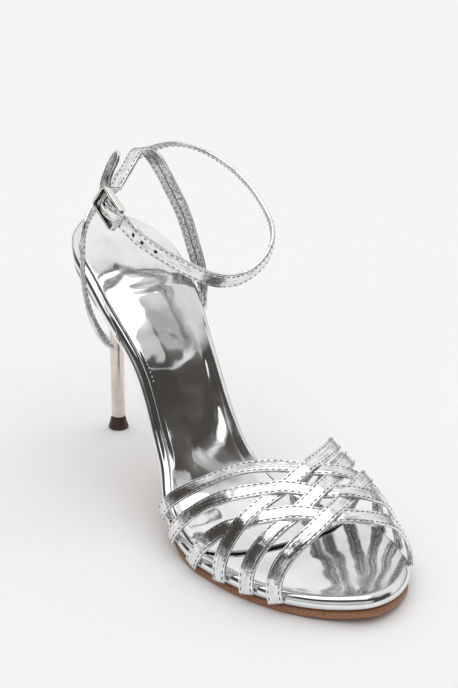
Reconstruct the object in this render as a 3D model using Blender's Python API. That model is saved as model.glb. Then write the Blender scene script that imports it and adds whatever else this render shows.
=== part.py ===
"""Right ankle strap sandal on a pin heel: sole, woven vamp, crossed ankle straps and buckle.

Y runs from the toe (-) to the heel (+), X from the outer side (-) to the inner side (+), Z up.
Sizes are in millimetres, measured from the middle of the heel tip's foot. Every piece hangs on
one empty, which then puts the middle of the floor under the whole shoe at the origin.
"""

import math

import bmesh
import bpy
import numpy as np

MM = 0.001
GAP = 0.3
SMALL_STEP = 0.001
SMOOTH_ANGLE = math.radians(40)

# Sole
HEEL_BACK = 22.5
TOE_TIP = -200.0
TOE_SHIFT = 2.0
HEEL_FAN = 22.0
TOE_FAN = 30.0
RIM_STEPS = 40
BOARD_THICK = 5.6
WALL_DEPTH = 3.1

# Station along Y, height of the board's top over the floor
SIDE_PROFILE = (
    (30.0, 101.0),
    (22.5, 99.0),
    (0.0, 92.6),
    (-22.0, 84.0),
    (-55.0, 61.0),
    (-84.0, 32.0),
    (-98.0, 20.6),
    (-111.0, 13.0),
    (-126.0, 8.9),
    (-136.0, 8.5),
    (-172.0, 8.5),
    (-186.0, 9.2),
    (-200.0, 11.2),
    (-210.0, 13.2),
)
PROFILE_SOFTEN = 4.0
PROFILE_STEP = 0.5
HALF_WAY = 0.5

# Station along Y, edge of the board on the outer side, edge on the inner side
PLAN = (
    (22.5, 0.0, 0.0),
    (18.0, -10.2, 10.6),
    (7.0, -19.2, 19.4),
    (-11.0, -25.4, 24.4),
    (-33.0, -26.4, 22.4),
    (-62.0, -23.4, 16.8),
    (-89.0, -27.4, 14.4),
    (-111.0, -36.0, 20.2),
    (-133.0, -38.8, 31.6),
    (-155.0, -35.4, 38.0),
    (-173.0, -28.4, 34.6),
    (-187.0, -18.6, 26.6),
    (-196.0, -8.4, 15.6),
    (-200.0, 2.0, 2.0),
)

# Rim of the board: distance in from the edge, distance below the top
RIM_SECTION = (
    (4.2, 0.0),
    (2.4, 0.25),
    (1.0, 1.0),
    (0.2, 2.1),
    (0.0, WALL_DEPTH),
    (0.3, 4.4),
    (1.2, 5.3),
    (2.6, BOARD_THICK),
)

# Outsole: station along Y, distance in from the board's edge, thickness
OUTSOLE = (
    (-40.0, 3.2, 1.5),
    (-97.0, 3.0, 1.5),
    (-128.0, 0.6, 2.6),
    (-200.0, 0.6, 2.6),
)
OUTSOLE_REAR = -46.0
OUTSOLE_CORNER = 8.0
OUTSOLE_BEVEL = 0.5

# Sock
SOCK_THICK = 1.2
SOCK_INSET = 2.9
SOCK_CROWN = 0.5
SOCK_BEVEL = 0.6
SOCK_FRONT = -151.0
SOCK_CORNER = 17.0

# Heel
CUP_INSET = 1.1
CUP_FRONT = -44.0
CUP_CORNER = 14.0
CUP_LIP = 0.8
CUP_SWELL = 1.65
CUP_SPREADS = (1.0, 0.95, 0.86, 0.72, 0.56, 0.42, 0.32)
CUP_SEAT = 66.4
CUP_FOOT = 4.5
PIN_LEAN = 2.1
TIP_HEIGHT = 5.4
# Height over the floor, radius
TIP_TURNING = ((0.0, 4.5), (0.5, 4.7), (1.4, 4.5), (3.4, 3.8), (TIP_HEIGHT, 3.5))
PIN_TURNING = ((TIP_HEIGHT + GAP, 3.05), (30.0, 3.15), (58.0, 3.35), (CUP_SEAT - GAP, 3.7))
ROUND_STEPS = 24

# Vamp ribbons
RIBBON_WIDTH = 6.5
RIBBON_THICK = 1.5
RIBBON_CHAMFER = 0.35
RIBBON_STEPS = 30
WEAVE_RISE = 0.62
WEAVE_REACH = 5.5
ARCH_CLEAR = 1.35
ARCH_FOOT = 4.4
ARCH_FULL = 0.95
# Station along Y, highest point of the straps over the floor, lean of the top to the inner side
ARCH = (
    (-95.0, 45.9, 0.75),
    (-115.0, 45.9, 0.56),
    (-130.0, 46.4, 0.41),
    (-145.0, 43.0, 0.26),
    (-160.0, 37.9, 0.12),
    (-175.0, 31.6, -0.03),
    (-190.0, 24.2, -0.18),
)
# Station of the outer end, station of the inner end, bow of the run to the toe, sway of its two
# halves, 1 where it starts over and -1 under
BACK_RIBBONS = (
    (-106.4, -152.1, -23.4, 1.9, -1),
    (-117.5, -165.9, -21.6, -0.9, 1),
    (-135.9, -178.9, -17.0, -1.2, -1),
)
FORE_RIBBONS = (
    (-152.6, -113.0, -14.9, -2.5, 1),
    (-165.7, -120.4, -16.4, -2.7, -1),
    (-177.1, -134.1, -14.7, -1.7, 1),
)

# Ankle straps
STRAP_WIDTH = 6.8
STRAP_THICK = 1.4
STRAP_STEP = 3.0
ANKLE_AXIS = (1.0, -46.0)

# Buckle: its middle, the way the strap runs through it to the front, and the way across it
BUCKLE_MIDDLE = (-32.3, -53.4, 124.4)
BUCKLE_ALONG = (0.06, -0.86, -0.51)
BUCKLE_ACROSS = (-0.27, 0.48, -0.83)
BUCKLE_LENGTH = 17.0
BUCKLE_WIDTH = 11.0
BUCKLE_WIRE = 1.2
BUCKLE_HALF_DEPTH = 1.1
BUCKLE_DROP = 2.3
BUCKLE_STEP = 0.1
BAR_PLACE = -1.0
BAR_TOP = -1.0
BUCKLE_REACH = (BUCKLE_LENGTH - BUCKLE_WIRE) / 2
STRAP_CLEAR = BUCKLE_HALF_DEPTH + 4 * GAP + STRAP_THICK / 2
STRAP_RISE = 0.35
PRONG_THICK = 1.1
PRONG_SIDES = 10
# Place along the buckle, place outwards of it: from the bar, up through the strap, onto the front
PRONG_ROUTE = (
    (-3.4, -2.2),
    (-3.9, -0.8),
    (-3.0, 1.4),
    (-0.8, 2.6),
    (4.0, 2.4),
    (8.9, 2.0),
)
SLOT_LENGTH = 3.6
SLOT_WIDTH = 2.0
SLOT_PLACE = -3.2
SLOT_HALF_DEPTH = 3.0

# Finish of each piece: colour, roughness, metallic
SILVER = (0.86, 0.87, 0.88)
FINISHES = {
    "insole_board": (SILVER, 0.1, 1.0),
    "outsole": ((0.36, 0.18, 0.1), 0.55, 0.0),
    "sock": (SILVER, 0.12, 1.0),
    "heel_cup": (SILVER, 0.08, 1.0),
    "heel_pin": ((0.8, 0.72, 0.66), 0.2, 1.0),
    "heel_tip": ((0.08, 0.04, 0.03), 0.45, 0.0),
    "vamp_straps": (SILVER, 0.12, 1.0),
    "ankle_strap_long": (SILVER, 0.12, 1.0),
    "ankle_strap_short": (SILVER, 0.12, 1.0),
    "buckle_elastic": ((0.66, 0.6, 0.56), 0.8, 0.0),
    "buckle_frame": ((0.82, 0.79, 0.76), 0.15, 1.0),
    "buckle_prong": ((0.82, 0.79, 0.76), 0.15, 1.0),
}


def through(stations, values, at):
    """Cubic curve through a table's points that doesn't overshoot them."""
    order = np.argsort(stations)
    x = np.asarray(stations, float)[order]
    y = np.asarray(values, float)[order]
    step = np.diff(x)
    rise = np.diff(y) / step
    slope = np.zeros_like(y)
    slope[0] = rise[0]
    slope[-1] = rise[-1]
    before = rise[:-1]
    after = rise[1:]
    same = before * after > 0
    far = 2 * step[1:] + step[:-1]
    near = step[1:] + 2 * step[:-1]
    inner = np.zeros(len(same))
    inner[same] = (far + near)[same] / (far[same] / before[same] + near[same] / after[same])
    slope[1:-1] = inner
    at = np.clip(at, x[0], x[-1])
    k = np.clip(np.searchsorted(x, at, side="right") - 1, 0, len(step) - 1)
    t = (at - x[k]) / step[k]
    return (
        y[k] * (1 + 2 * t) * (1 - t) ** 2
        + slope[k] * step[k] * t * (1 - t) ** 2
        + y[k + 1] * t * t * (3 - 2 * t)
        + slope[k + 1] * step[k] * t * t * (t - 1)
    )


def column(rows, index):
    """One column of a table."""
    return [row[index] for row in rows]


def unit(vectors):
    """Vectors scaled to length one."""
    vectors = np.asarray(vectors, float)
    return vectors / np.linalg.norm(vectors, axis=-1, keepdims=True)


def curve_through(points, step):
    """Rows about one step apart on a natural cubic spline through a route's rows, by chord length."""
    points = np.asarray(points, float)
    chord = np.linalg.norm(np.diff(points[:, :3], axis=0), axis=1)
    knots = np.concatenate([[0.0], np.cumsum(chord)])
    count = len(points)
    system = np.eye(count)
    target = np.zeros_like(points)
    for k in range(1, count - 1):
        system[k, k - 1:k + 2] = chord[k - 1], 2 * (chord[k - 1] + chord[k]), chord[k]
        after = (points[k + 1] - points[k]) / chord[k]
        before = (points[k] - points[k - 1]) / chord[k - 1]
        target[k] = 6 * (after - before)
    bend = np.linalg.solve(system, target)
    along = np.linspace(0.0, knots[-1], int(round(knots[-1] / step)) + 1)
    k = np.clip(np.searchsorted(knots, along, side="right") - 1, 0, count - 2)
    h = chord[k][:, None]
    a = (knots[k + 1] - along)[:, None] / h
    b = 1 - a
    return a * points[k] + b * points[k + 1] + ((a**3 - a) * bend[k] + (b**3 - b) * bend[k + 1]) * h * h / 6


def soft_heights(stations):
    """The side profile, softened by a bell curve so that its bends flow into each other."""
    heights = through(column(SIDE_PROFILE, 0), column(SIDE_PROFILE, 1), stations)
    reach = np.arange(-3 * PROFILE_SOFTEN, 3 * PROFILE_SOFTEN + PROFILE_STEP / 2, PROFILE_STEP)
    bell = np.exp(-0.5 * (reach / PROFILE_SOFTEN) ** 2)
    padded = np.pad(heights, len(reach) // 2, mode="reflect", reflect_type="odd")
    return np.convolve(padded, bell / bell.sum(), mode="valid")


STATIONS = np.arange(SIDE_PROFILE[-1][0], SIDE_PROFILE[0][0], PROFILE_STEP)
HEIGHTS = soft_heights(STATIONS)
SLOPES = np.gradient(HEIGHTS, STATIONS)


def bed(x, y, lift):
    """Point over the board's top: x across, station y, lifted along the profile's normal."""
    height = np.interp(y, STATIONS, HEIGHTS)
    slope = np.interp(y, STATIONS, SLOPES)
    run = np.hypot(1.0, slope)
    x, y, lift = np.broadcast_arrays(x, y, lift)
    return np.stack([x, y - lift * slope / run, height + lift / run], axis=-1)


def middle(y):
    """Middle line of the plan, from the heel's back to the tip of the toe."""
    return TOE_SHIFT * (HEEL_BACK - np.asarray(y, float)) / (HEEL_BACK - TOE_TIP)


def edge(y, side):
    """Edge of the board at a station, side -1 outer and 1 inner.

    The squares of the half widths are smoothed, which makes both ends round.
    """
    index = 1 if side < 0 else 2
    squares = [(row[index] - middle(row[0])) ** 2 for row in PLAN]
    return middle(y) + side * np.sqrt(np.maximum(through(column(PLAN, 0), squares, y), 0.0))


def cap(distance, corner):
    """Share of the width left at a distance from a blunt end with elliptic corners."""
    if corner == 0:
        return np.ones_like(distance)
    short = np.clip(1 - distance / corner, 0.0, 1.0)
    return np.sqrt(1 - short**2)


def rim(rear, front, rear_corner=0.0, front_corner=0.0, rear_fan=HEEL_FAN, front_fan=TOE_FAN):
    """Closed plan line between two stations, and for each of its points the spine point inside it."""
    turn = np.linspace(0.0, math.pi, RIM_STEPS + 1)
    y = (rear + front) / 2 + (rear - front) / 2 * np.cos(turn)
    squeeze = cap(rear - y, rear_corner) * cap(y - front, front_corner)
    outer = middle(y) + (edge(y, -1) - middle(y)) * squeeze
    inner = middle(y) + (edge(y, 1) - middle(y)) * squeeze
    line_y = np.concatenate([y, y[-2:0:-1]])
    line_x = np.concatenate([outer, inner[-2:0:-1]])
    spine_y = np.clip(line_y, front + front_fan, rear - rear_fan)
    return np.stack([line_x, line_y], -1), np.stack([middle(spine_y), spine_y], -1)


def ring(line, spine, inset=0.0, lift=0.0, share=0.0):
    """The plan line moved in by a distance, then by a share of what is left, and lifted off the bed."""
    reach = np.linalg.norm(line - spine, axis=1)
    left = np.maximum(reach - inset, 0.0) * (1 - share)
    plan = spine + (line - spine) * (left / reach)[:, None]
    return bed(plan[:, 0], plan[:, 1], lift)


def ladder(start, count):
    """Faces that close a long ring from side to side."""
    half = count // 2
    faces = [(start, start + 1, start + count - 1)]
    for i in range(1, half - 1):
        faces.append((start + i, start + i + 1, start + count - i - 1, start + count - i))
    faces.append((start + half - 1, start + half, start + half + 1))
    return faces


def disc(start, count):
    """One face that closes a ring."""
    return [tuple(range(start, start + count))]


def ring_mesh(rings, close):
    """Points and faces of a body through closed rings, its two ends closed by the given function."""
    count = len(rings[0])
    faces = list(close(0, count))
    for k in range(len(rings) - 1):
        for i in range(count):
            j = (i + 1) % count
            faces.append((k * count + i, k * count + j, (k + 1) * count + j, (k + 1) * count + i))
    faces.extend(close((len(rings) - 1) * count, count))
    return np.concatenate(rings), faces


def ribbon_mesh(points, outward, width, thick):
    """A flat strap along a line: a chamfered section carried square to the line and to outward."""
    along = unit(np.gradient(points, axis=0))
    across = unit(np.cross(along, outward))
    face = np.cross(across, along)
    w = width / 2
    t = thick / 2
    c = RIBBON_CHAMFER
    section = ((-w, -t), (w, -t), (w, t - c), (w - c, t), (c - w, t), (-w, t - c))
    rings = [
        np.stack([points[k] + a * across[k] + b * face[k] for a, b in section])
        for k in range(len(points))
    ]
    return ring_mesh(rings, disc)


def block_mesh(along, across, out):
    """A box in the buckle's own axes, each given as its two limits."""
    corners = ((along[0], across[0]), (along[1], across[0]), (along[1], across[1]), (along[0], across[1]))
    rings = [
        np.array([BUCKLE_MIDDLE + buckle_axes() @ np.array([*corner, level]) for corner in corners])
        for level in out
    ]
    return ring_mesh(rings, disc)


def add_finish(name, colour, roughness, metallic):
    """Plain Principled finish."""
    finish = bpy.data.materials.new(name)
    finish.use_nodes = True
    shader = finish.node_tree.nodes["Principled BSDF"]
    shader.inputs["Base Color"].default_value = (*colour, 1.0)
    shader.inputs["Roughness"].default_value = roughness
    shader.inputs["Metallic"].default_value = metallic
    return finish


def add_piece(name, points, faces, parent, finish):
    """A named closed body, faces outwards and shaded smooth, hung on the parent."""
    shape = bmesh.new()
    corners = [shape.verts.new(point) for point in np.asarray(points) * MM]
    for face in faces:
        shape.faces.new([corners[i] for i in face])
    bmesh.ops.recalc_face_normals(shape, faces=shape.faces)
    mesh = bpy.data.meshes.new(name)
    shape.to_mesh(mesh)
    shape.free()
    mesh.shade_smooth()
    mesh.set_sharp_from_angle(angle=SMOOTH_ANGLE)
    mesh.materials.append(finish)
    piece = bpy.data.objects.new(name, mesh)
    bpy.context.collection.objects.link(piece)
    piece.parent = parent
    return piece


def combine(piece, other, operation):
    """Join another body to a piece, or cut it out, and keep that body only as a guide."""
    step = piece.modifiers.new(other.name, "BOOLEAN")
    step.operation = operation
    step.object = other
    other.hide_render = True
    other.display_type = "WIRE"


def add_insole_board(parent, finish):
    """The wrapped board: flat top, rounded rim, flat underside."""
    line, spine = rim(HEEL_BACK, TOE_TIP)
    first = RIM_SECTION[0]
    last = RIM_SECTION[-1]
    rings = [ring(line, spine, first[0], -first[1], share=HALF_WAY)]
    rings += [ring(line, spine, inset, -below) for inset, below in RIM_SECTION]
    rings.append(ring(line, spine, last[0], -last[1], share=HALF_WAY))
    add_piece("insole_board", *ring_mesh(rings, ladder), parent, finish)


def add_outsole(parent, finish):
    """The thin sheet under the board, narrower through the waist, from the heel breast to the toe."""
    line, spine = rim(OUTSOLE_REAR, TOE_TIP, rear_corner=OUTSOLE_CORNER, rear_fan=OUTSOLE_CORNER)
    inset = through(column(OUTSOLE, 0), column(OUTSOLE, 1), line[:, 1])
    top = -(BOARD_THICK + GAP)
    bottom = top - through(column(OUTSOLE, 0), column(OUTSOLE, 2), line[:, 1])
    rings = [
        ring(line, spine, inset, top, share=HALF_WAY),
        ring(line, spine, inset, top),
        ring(line, spine, inset, bottom + OUTSOLE_BEVEL),
        ring(line, spine, inset + OUTSOLE_BEVEL, bottom),
        ring(line, spine, inset + OUTSOLE_BEVEL, bottom, share=HALF_WAY),
    ]
    add_piece("outsole", *ring_mesh(rings, ladder), parent, finish)


def add_sock(parent, finish):
    """The padded sheet on the board, round at the front, a little fuller in the middle."""
    line, spine = rim(HEEL_BACK, SOCK_FRONT, front_corner=SOCK_CORNER, front_fan=SOCK_CORNER)
    top = GAP + SOCK_THICK
    rings = [
        ring(line, spine, SOCK_INSET + SOCK_BEVEL, top + SOCK_CROWN, share=HALF_WAY),
        ring(line, spine, SOCK_INSET + SOCK_BEVEL, top),
        ring(line, spine, SOCK_INSET, top - SOCK_BEVEL),
        ring(line, spine, SOCK_INSET, GAP),
        ring(line, spine, SOCK_INSET, GAP, share=HALF_WAY),
    ]
    add_piece("sock", *ring_mesh(rings, ladder), parent, finish)


def pin_centre(z):
    """Middle of the pin at a height: it leans back a little on its way up."""
    return np.array([0.0, PIN_LEAN * z / CUP_SEAT, z])


def add_heel_cup(parent, finish):
    """The bowl under the heel seat: its rings draw in from the rim to the pin as it deepens."""
    line, spine = rim(HEEL_BACK, CUP_FRONT, front_corner=CUP_CORNER, front_fan=CUP_CORNER)
    top = -(BOARD_THICK + GAP)
    lip = ring(line, spine, CUP_INSET, top - CUP_LIP)
    seat = pin_centre(CUP_SEAT)
    rings = [ring(line, spine, CUP_INSET, top, share=HALF_WAY), ring(line, spine, CUP_INSET, top)]
    for spread in CUP_SPREADS:
        depth = (1 - spread**CUP_SWELL) ** (1 / CUP_SWELL)
        plan = seat[:2] + (lip[:, :2] - seat[:2]) * spread
        height = lip[:, 2] + (seat[2] - lip[:, 2]) * depth
        rings.append(np.column_stack([plan, height]))
    angle = np.arctan2(lip[:, 1] - seat[1], lip[:, 0] - seat[0])
    rings.append(seat + CUP_FOOT * np.column_stack([np.cos(angle), np.sin(angle), np.zeros_like(angle)]))
    add_piece("heel_cup", *ring_mesh(rings, ladder), parent, finish)


def add_turned(name, turning, parent, finish):
    """A round piece on the pin's line: height and radius for each ring."""
    turn = np.linspace(0.0, 2 * math.pi, ROUND_STEPS, endpoint=False)
    circle = np.column_stack([np.cos(turn), np.sin(turn), np.zeros_like(turn)])
    rings = [pin_centre(z) + radius * circle for z, radius in turning]
    add_piece(name, *ring_mesh(rings, disc), parent, finish)


def wall_station(y):
    """Station of the board whose side stands at y: the side leans where the board slopes."""
    slope = np.interp(y, STATIONS, SLOPES)
    return y - WALL_DEPTH * slope / np.hypot(1.0, slope)


def arch(y, turn):
    """Point of the vamp over station y: turn is 0 at the outer edge, half a turn later the inner edge.

    An oval from side to side whose top leans over, more so the higher it is.
    """
    outer = edge(wall_station(y), -1) - ARCH_CLEAR
    inner = edge(wall_station(y), 1) + ARCH_CLEAR
    base = bed(0.0, y, -ARCH_FOOT)[..., 2]
    height = through(column(ARCH, 0), column(ARCH, 1), y) - base
    lean = through(column(ARCH, 0), column(ARCH, 2), y)
    share = np.maximum(np.sin(turn), 0.0) ** ARCH_FULL
    x = (outer + inner) / 2 - (inner - outer) / 2 * np.cos(turn) + lean * height * share**2
    return np.stack([x, y, base + height * share], axis=-1)


def ribbon_run(outer_end, inner_end, bow, sway):
    """Turns of a ribbon over the arch and its stations: a slant between its ends, bowed and swayed."""
    turn = np.linspace(0.0, math.pi, RIBBON_STEPS + 1)
    slant = outer_end + (inner_end - outer_end) * turn / math.pi
    return turn, slant + bow * np.sin(turn) ** 2 + sway * np.sin(2 * turn)


def vamp_ribbon(run, others, first_side):
    """One ribbon of the weave, raised and lowered by turns where the others cross it."""
    turn, y = run
    points = arch(y, turn)
    ahead = arch(y, np.minimum(turn + SMALL_STEP, math.pi))
    behind = arch(y, np.maximum(turn - SMALL_STEP, 0.0))
    normal = unit(np.cross(arch(y - SMALL_STEP, turn) - arch(y + SMALL_STEP, turn), ahead - behind))
    along = np.concatenate([[0.0], np.cumsum(np.linalg.norm(np.diff(points, axis=0), axis=1))])
    crossings = []
    for _, other_y in others:
        apart = y - other_y
        k = int(np.argmax(apart[:-1] * apart[1:] <= 0))
        crossings.append(along[k] + (along[k + 1] - along[k]) * apart[k] / (apart[k] - apart[k + 1]))
    lift = np.zeros_like(turn)
    side = first_side
    for crossing in sorted(crossings):
        lift += side * WEAVE_RISE * np.exp(-(((along - crossing) / WEAVE_REACH) ** 2))
        side = -side
    return ribbon_mesh(points + normal * lift[:, None], normal, RIBBON_WIDTH, RIBBON_THICK)


def add_vamp_straps(parent, finish):
    """Six ribbons in plain weave, three each way, joined where they cross."""
    back = [ribbon_run(*row[:4]) for row in BACK_RIBBONS]
    fore = [ribbon_run(*row[:4]) for row in FORE_RIBBONS]
    meshes = [vamp_ribbon(run, fore, row[4]) for run, row in zip(back, BACK_RIBBONS)]
    meshes += [vamp_ribbon(run, back, row[4]) for run, row in zip(fore, FORE_RIBBONS)]
    straps = add_piece("vamp_straps", *meshes[0], parent, finish)
    for k, mesh in enumerate(meshes[1:], start=2):
        combine(straps, add_piece(f"vamp_ribbon_{k}", *mesh, parent, finish), "UNION")


def buckle_axes():
    """Columns of the buckle's own axes: along the strap to the front, across it, and outwards."""
    along = unit(BUCKLE_ALONG)
    out = unit(np.cross(BUCKLE_ACROSS, along))
    return np.column_stack([along, np.cross(along, out), out])


def at_buckle(along, out):
    """A row of a strap's route at the buckle: a point on its middle plane, its face turned as the buckle."""
    axes = buckle_axes()
    point = BUCKLE_MIDDLE + axes @ np.array([along, 0.0, out])
    away = math.atan2(point[1] - ANKLE_AXIS[1], point[0] - ANKLE_AXIS[0])
    turn = math.remainder(math.atan2(axes[1, 2], axes[0, 2]) - away, 2 * math.pi)
    return (*point, math.degrees(math.asin(axes[2, 2])), math.degrees(turn))


# Middle line of the long strap, lean of its face from upright and turn of its face about upright,
# in degrees: outer side of the sole, behind the ankle, inner side, front, under the buckle's front,
# over its bar, under its back, free end
LONG_ROUTE = (
    (-27.4, -46.0, 62.2, 0.0, 0.0),
    (-32.4, -47.2, 67.3, 0.0, -24.0),
    (-37.0, -46.5, 77.0, 0.0, -34.0),
    (-38.2, -43.0, 88.0, 0.0, -28.0),
    (-37.2, -39.5, 100.0, 0.0, -22.0),
    (-33.7, -35.0, 111.4, 2.0, -13.0),
    (-26.4, -29.0, 117.9, 6.0, -4.0),
    (-16.1, -21.0, 121.5, 14.0, 0.0),
    (-3.2, -12.0, 127.0, 26.0, 0.0),
    (7.9, -7.0, 131.7, 40.0, 0.0),
    (19.0, -11.5, 135.8, 48.0, 0.0),
    (30.0, -27.0, 134.0, 40.0, 0.0),
    (35.0, -48.0, 127.0, 15.0, 0.0),
    (35.0, -66.0, 118.0, 2.0, 0.0),
    (31.0, -78.5, 109.5, -12.0, 0.0),
    (23.0, -84.5, 102.5, -22.0, 0.0),
    (12.0, -86.5, 98.0, -26.0, 0.0),
    (1.0, -87.0, 98.5, -26.0, 0.0),
    (-10.0, -83.0, 103.0, -26.0, 0.0),
    (-19.0, -75.0, 109.0, -22.0, 0.0),
    (-26.0, -67.0, 114.8, -12.0, 0.0),
    at_buckle(BUCKLE_REACH, -STRAP_CLEAR),
    at_buckle(BAR_PLACE, STRAP_RISE),
    at_buckle(-BUCKLE_REACH, -STRAP_CLEAR),
    (-28.6, -44.0, 132.0, 12.0, 14.0),
    (-24.5, -41.5, 138.3, 20.0, 20.0),
    (-20.6, -39.5, 143.6, 22.0, 20.0),
)
# Middle line, lean and turn of the short strap: inner side of the sole, behind the ankle inside the
# long strap, over its own fold, outer side
SHORT_ROUTE = (
    (23.2, -36.4, 66.6, 0.0, -32.0),
    (23.6, -35.6, 71.5, 0.0, -32.0),
    (23.9, -34.4, 77.5, 0.0, -20.0),
    (23.3, -32.6, 84.5, 0.0, -6.0),
    (21.9, -28.6, 95.0, 0.0, 0.0),
    (20.2, -23.8, 106.5, 5.0, 0.0),
    (16.2, -18.1, 119.0, 18.0, 0.0),
    (12.4, -15.0, 128.0, 42.0, 0.0),
    (6.0, -17.0, 135.2, 68.0, 15.0),
    (-1.8, -22.6, 138.0, 80.0, 40.0),
    (-9.2, -28.6, 134.6, 63.0, 62.0),
    (-14.9, -32.2, 130.2, 58.0, 48.0),
    (-20.3, -36.0, 126.6, 57.0, 36.0),
)
# Middle line, lean and turn of the ribbed tab, from the short strap's end to the underside of the bar
TAB_WIDTH = 5.4
TAB_THICK = 1.0
TAB_STEP = 1.5
TAB_DIP = 2.2
TAB_BEFORE = 4.0
TAB_BEYOND = 2.0
TAB_ROUTE = (
    (-21.2, -37.0, 126.1, 57.0, 36.0),
    (-25.4, -42.8, 126.2, 40.0, 20.0),
    at_buckle(BAR_PLACE - TAB_BEFORE, -BUCKLE_DROP - TAB_DIP),
    at_buckle(BAR_PLACE + TAB_BEYOND, -BUCKLE_DROP - GAP - TAB_THICK / 2),
)


def strap_mesh(route, width, thick, step):
    """A strap along a route: its face looks away from the ankle, then is turned and leaned back."""
    rows = curve_through(route, step)
    points = rows[:, :3]
    lean = np.radians(rows[:, 3])
    away = points[:, :2] - np.array(ANKLE_AXIS)
    heading = np.arctan2(away[:, 1], away[:, 0]) + np.radians(rows[:, 4])
    level = np.cos(lean)
    outward = np.column_stack([level * np.cos(heading), level * np.sin(heading), np.sin(lean)])
    return ribbon_mesh(points, outward, width, thick)


def add_buckle_frame(parent, finish):
    """A deep rectangular frame with a low bar across it."""
    length = BUCKLE_LENGTH / 2
    width = BUCKLE_WIDTH / 2
    wire = BUCKLE_WIRE
    deep = (-BUCKLE_DROP, BUCKLE_HALF_DEPTH)
    shallow = (-BUCKLE_HALF_DEPTH, BUCKLE_HALF_DEPTH - BUCKLE_STEP)
    low = (BUCKLE_STEP - BUCKLE_DROP, BAR_TOP)
    first_side = block_mesh((-length, length), (-width, wire - width), deep)
    frame = add_piece("buckle_frame", *first_side, parent, finish)
    guides = {
        "buckle_side": ((-length, length), (width - wire, width), deep),
        "buckle_front": ((length - wire, length), (-width, width), shallow),
        "buckle_back": ((-length, wire - length), (-width, width), shallow),
        "buckle_bar": ((BAR_PLACE - wire / 2, BAR_PLACE + wire / 2), (-width, width), low),
    }
    for name, limits in guides.items():
        combine(frame, add_piece(name, *block_mesh(*limits), parent, finish), "UNION")


def add_buckle_prong(parent, finish):
    """A round prong from beside the bar, up through the strap's slot and onto the frame's front."""
    rows = [at_buckle(*row) for row in PRONG_ROUTE]
    points = curve_through(rows, PRONG_THICK)[:, :3]
    along = unit(np.gradient(points, axis=0))
    across = buckle_axes()[:, 1]
    up = np.cross(along, across)
    turn = np.linspace(0.0, 2 * math.pi, PRONG_SIDES, endpoint=False)[:, None]
    rings = [
        points[k] + PRONG_THICK / 2 * (np.cos(turn) * across + np.sin(turn) * up[k])
        for k in range(len(points))
    ]
    add_piece("buckle_prong", *ring_mesh(rings, disc), parent, finish)


def add_ankle_strap_long(parent, finish):
    """The long strap, with the slot that the prong comes up through."""
    run = strap_mesh(LONG_ROUTE, STRAP_WIDTH, STRAP_THICK, STRAP_STEP)
    strap = add_piece("ankle_strap_long", *run, parent, finish)
    slot = block_mesh(
        (SLOT_PLACE - SLOT_LENGTH / 2, SLOT_PLACE + SLOT_LENGTH / 2),
        (-SLOT_WIDTH / 2, SLOT_WIDTH / 2),
        (-SLOT_HALF_DEPTH, SLOT_HALF_DEPTH),
    )
    combine(strap, add_piece("prong_slot", *slot, parent, finish), "DIFFERENCE")


def stand_on_origin(stand):
    """Move everything so that the middle of the floor under the shoe is the origin."""
    shapes = [thing for thing in bpy.data.objects if thing.type == "MESH" and not thing.hide_render]
    corners = np.array([corner[:] for shape in shapes for corner in shape.bound_box])
    low = corners.min(axis=0)
    high = corners.max(axis=0)
    stand.location = (-(low[0] + high[0]) / 2, -(low[1] + high[1]) / 2, -low[2])


def main():
    for thing in list(bpy.data.objects):
        bpy.data.objects.remove(thing)
    stand = bpy.data.objects.new("shoe_origin", None)
    bpy.context.collection.objects.link(stand)
    finish = {name: add_finish(f"{name}_finish", *look) for name, look in FINISHES.items()}
    add_insole_board(stand, finish["insole_board"])
    add_outsole(stand, finish["outsole"])
    add_sock(stand, finish["sock"])
    add_heel_cup(stand, finish["heel_cup"])
    add_turned("heel_pin", PIN_TURNING, stand, finish["heel_pin"])
    add_turned("heel_tip", TIP_TURNING, stand, finish["heel_tip"])
    add_vamp_straps(stand, finish["vamp_straps"])
    add_ankle_strap_long(stand, finish["ankle_strap_long"])
    short = strap_mesh(SHORT_ROUTE, STRAP_WIDTH, STRAP_THICK, STRAP_STEP)
    add_piece("ankle_strap_short", *short, stand, finish["ankle_strap_short"])
    tab = strap_mesh(TAB_ROUTE, TAB_WIDTH, TAB_THICK, TAB_STEP)
    add_piece("buckle_elastic", *tab, stand, finish["buckle_elastic"])
    add_buckle_frame(stand, finish["buckle_frame"])
    add_buckle_prong(stand, finish["buckle_prong"])
    bpy.context.view_layer.update()
    stand_on_origin(stand)


main()
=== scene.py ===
"""Right ankle strap sandal in mirror foil on a pin heel, dressed on its CAD frame.

Tables are in millimetres, measured from the middle of the heel tip's foot: Y runs from the toe (-)
to the heel (+), X from the outer side (-) to the inner side (+), Z up.
"""

import math

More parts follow.
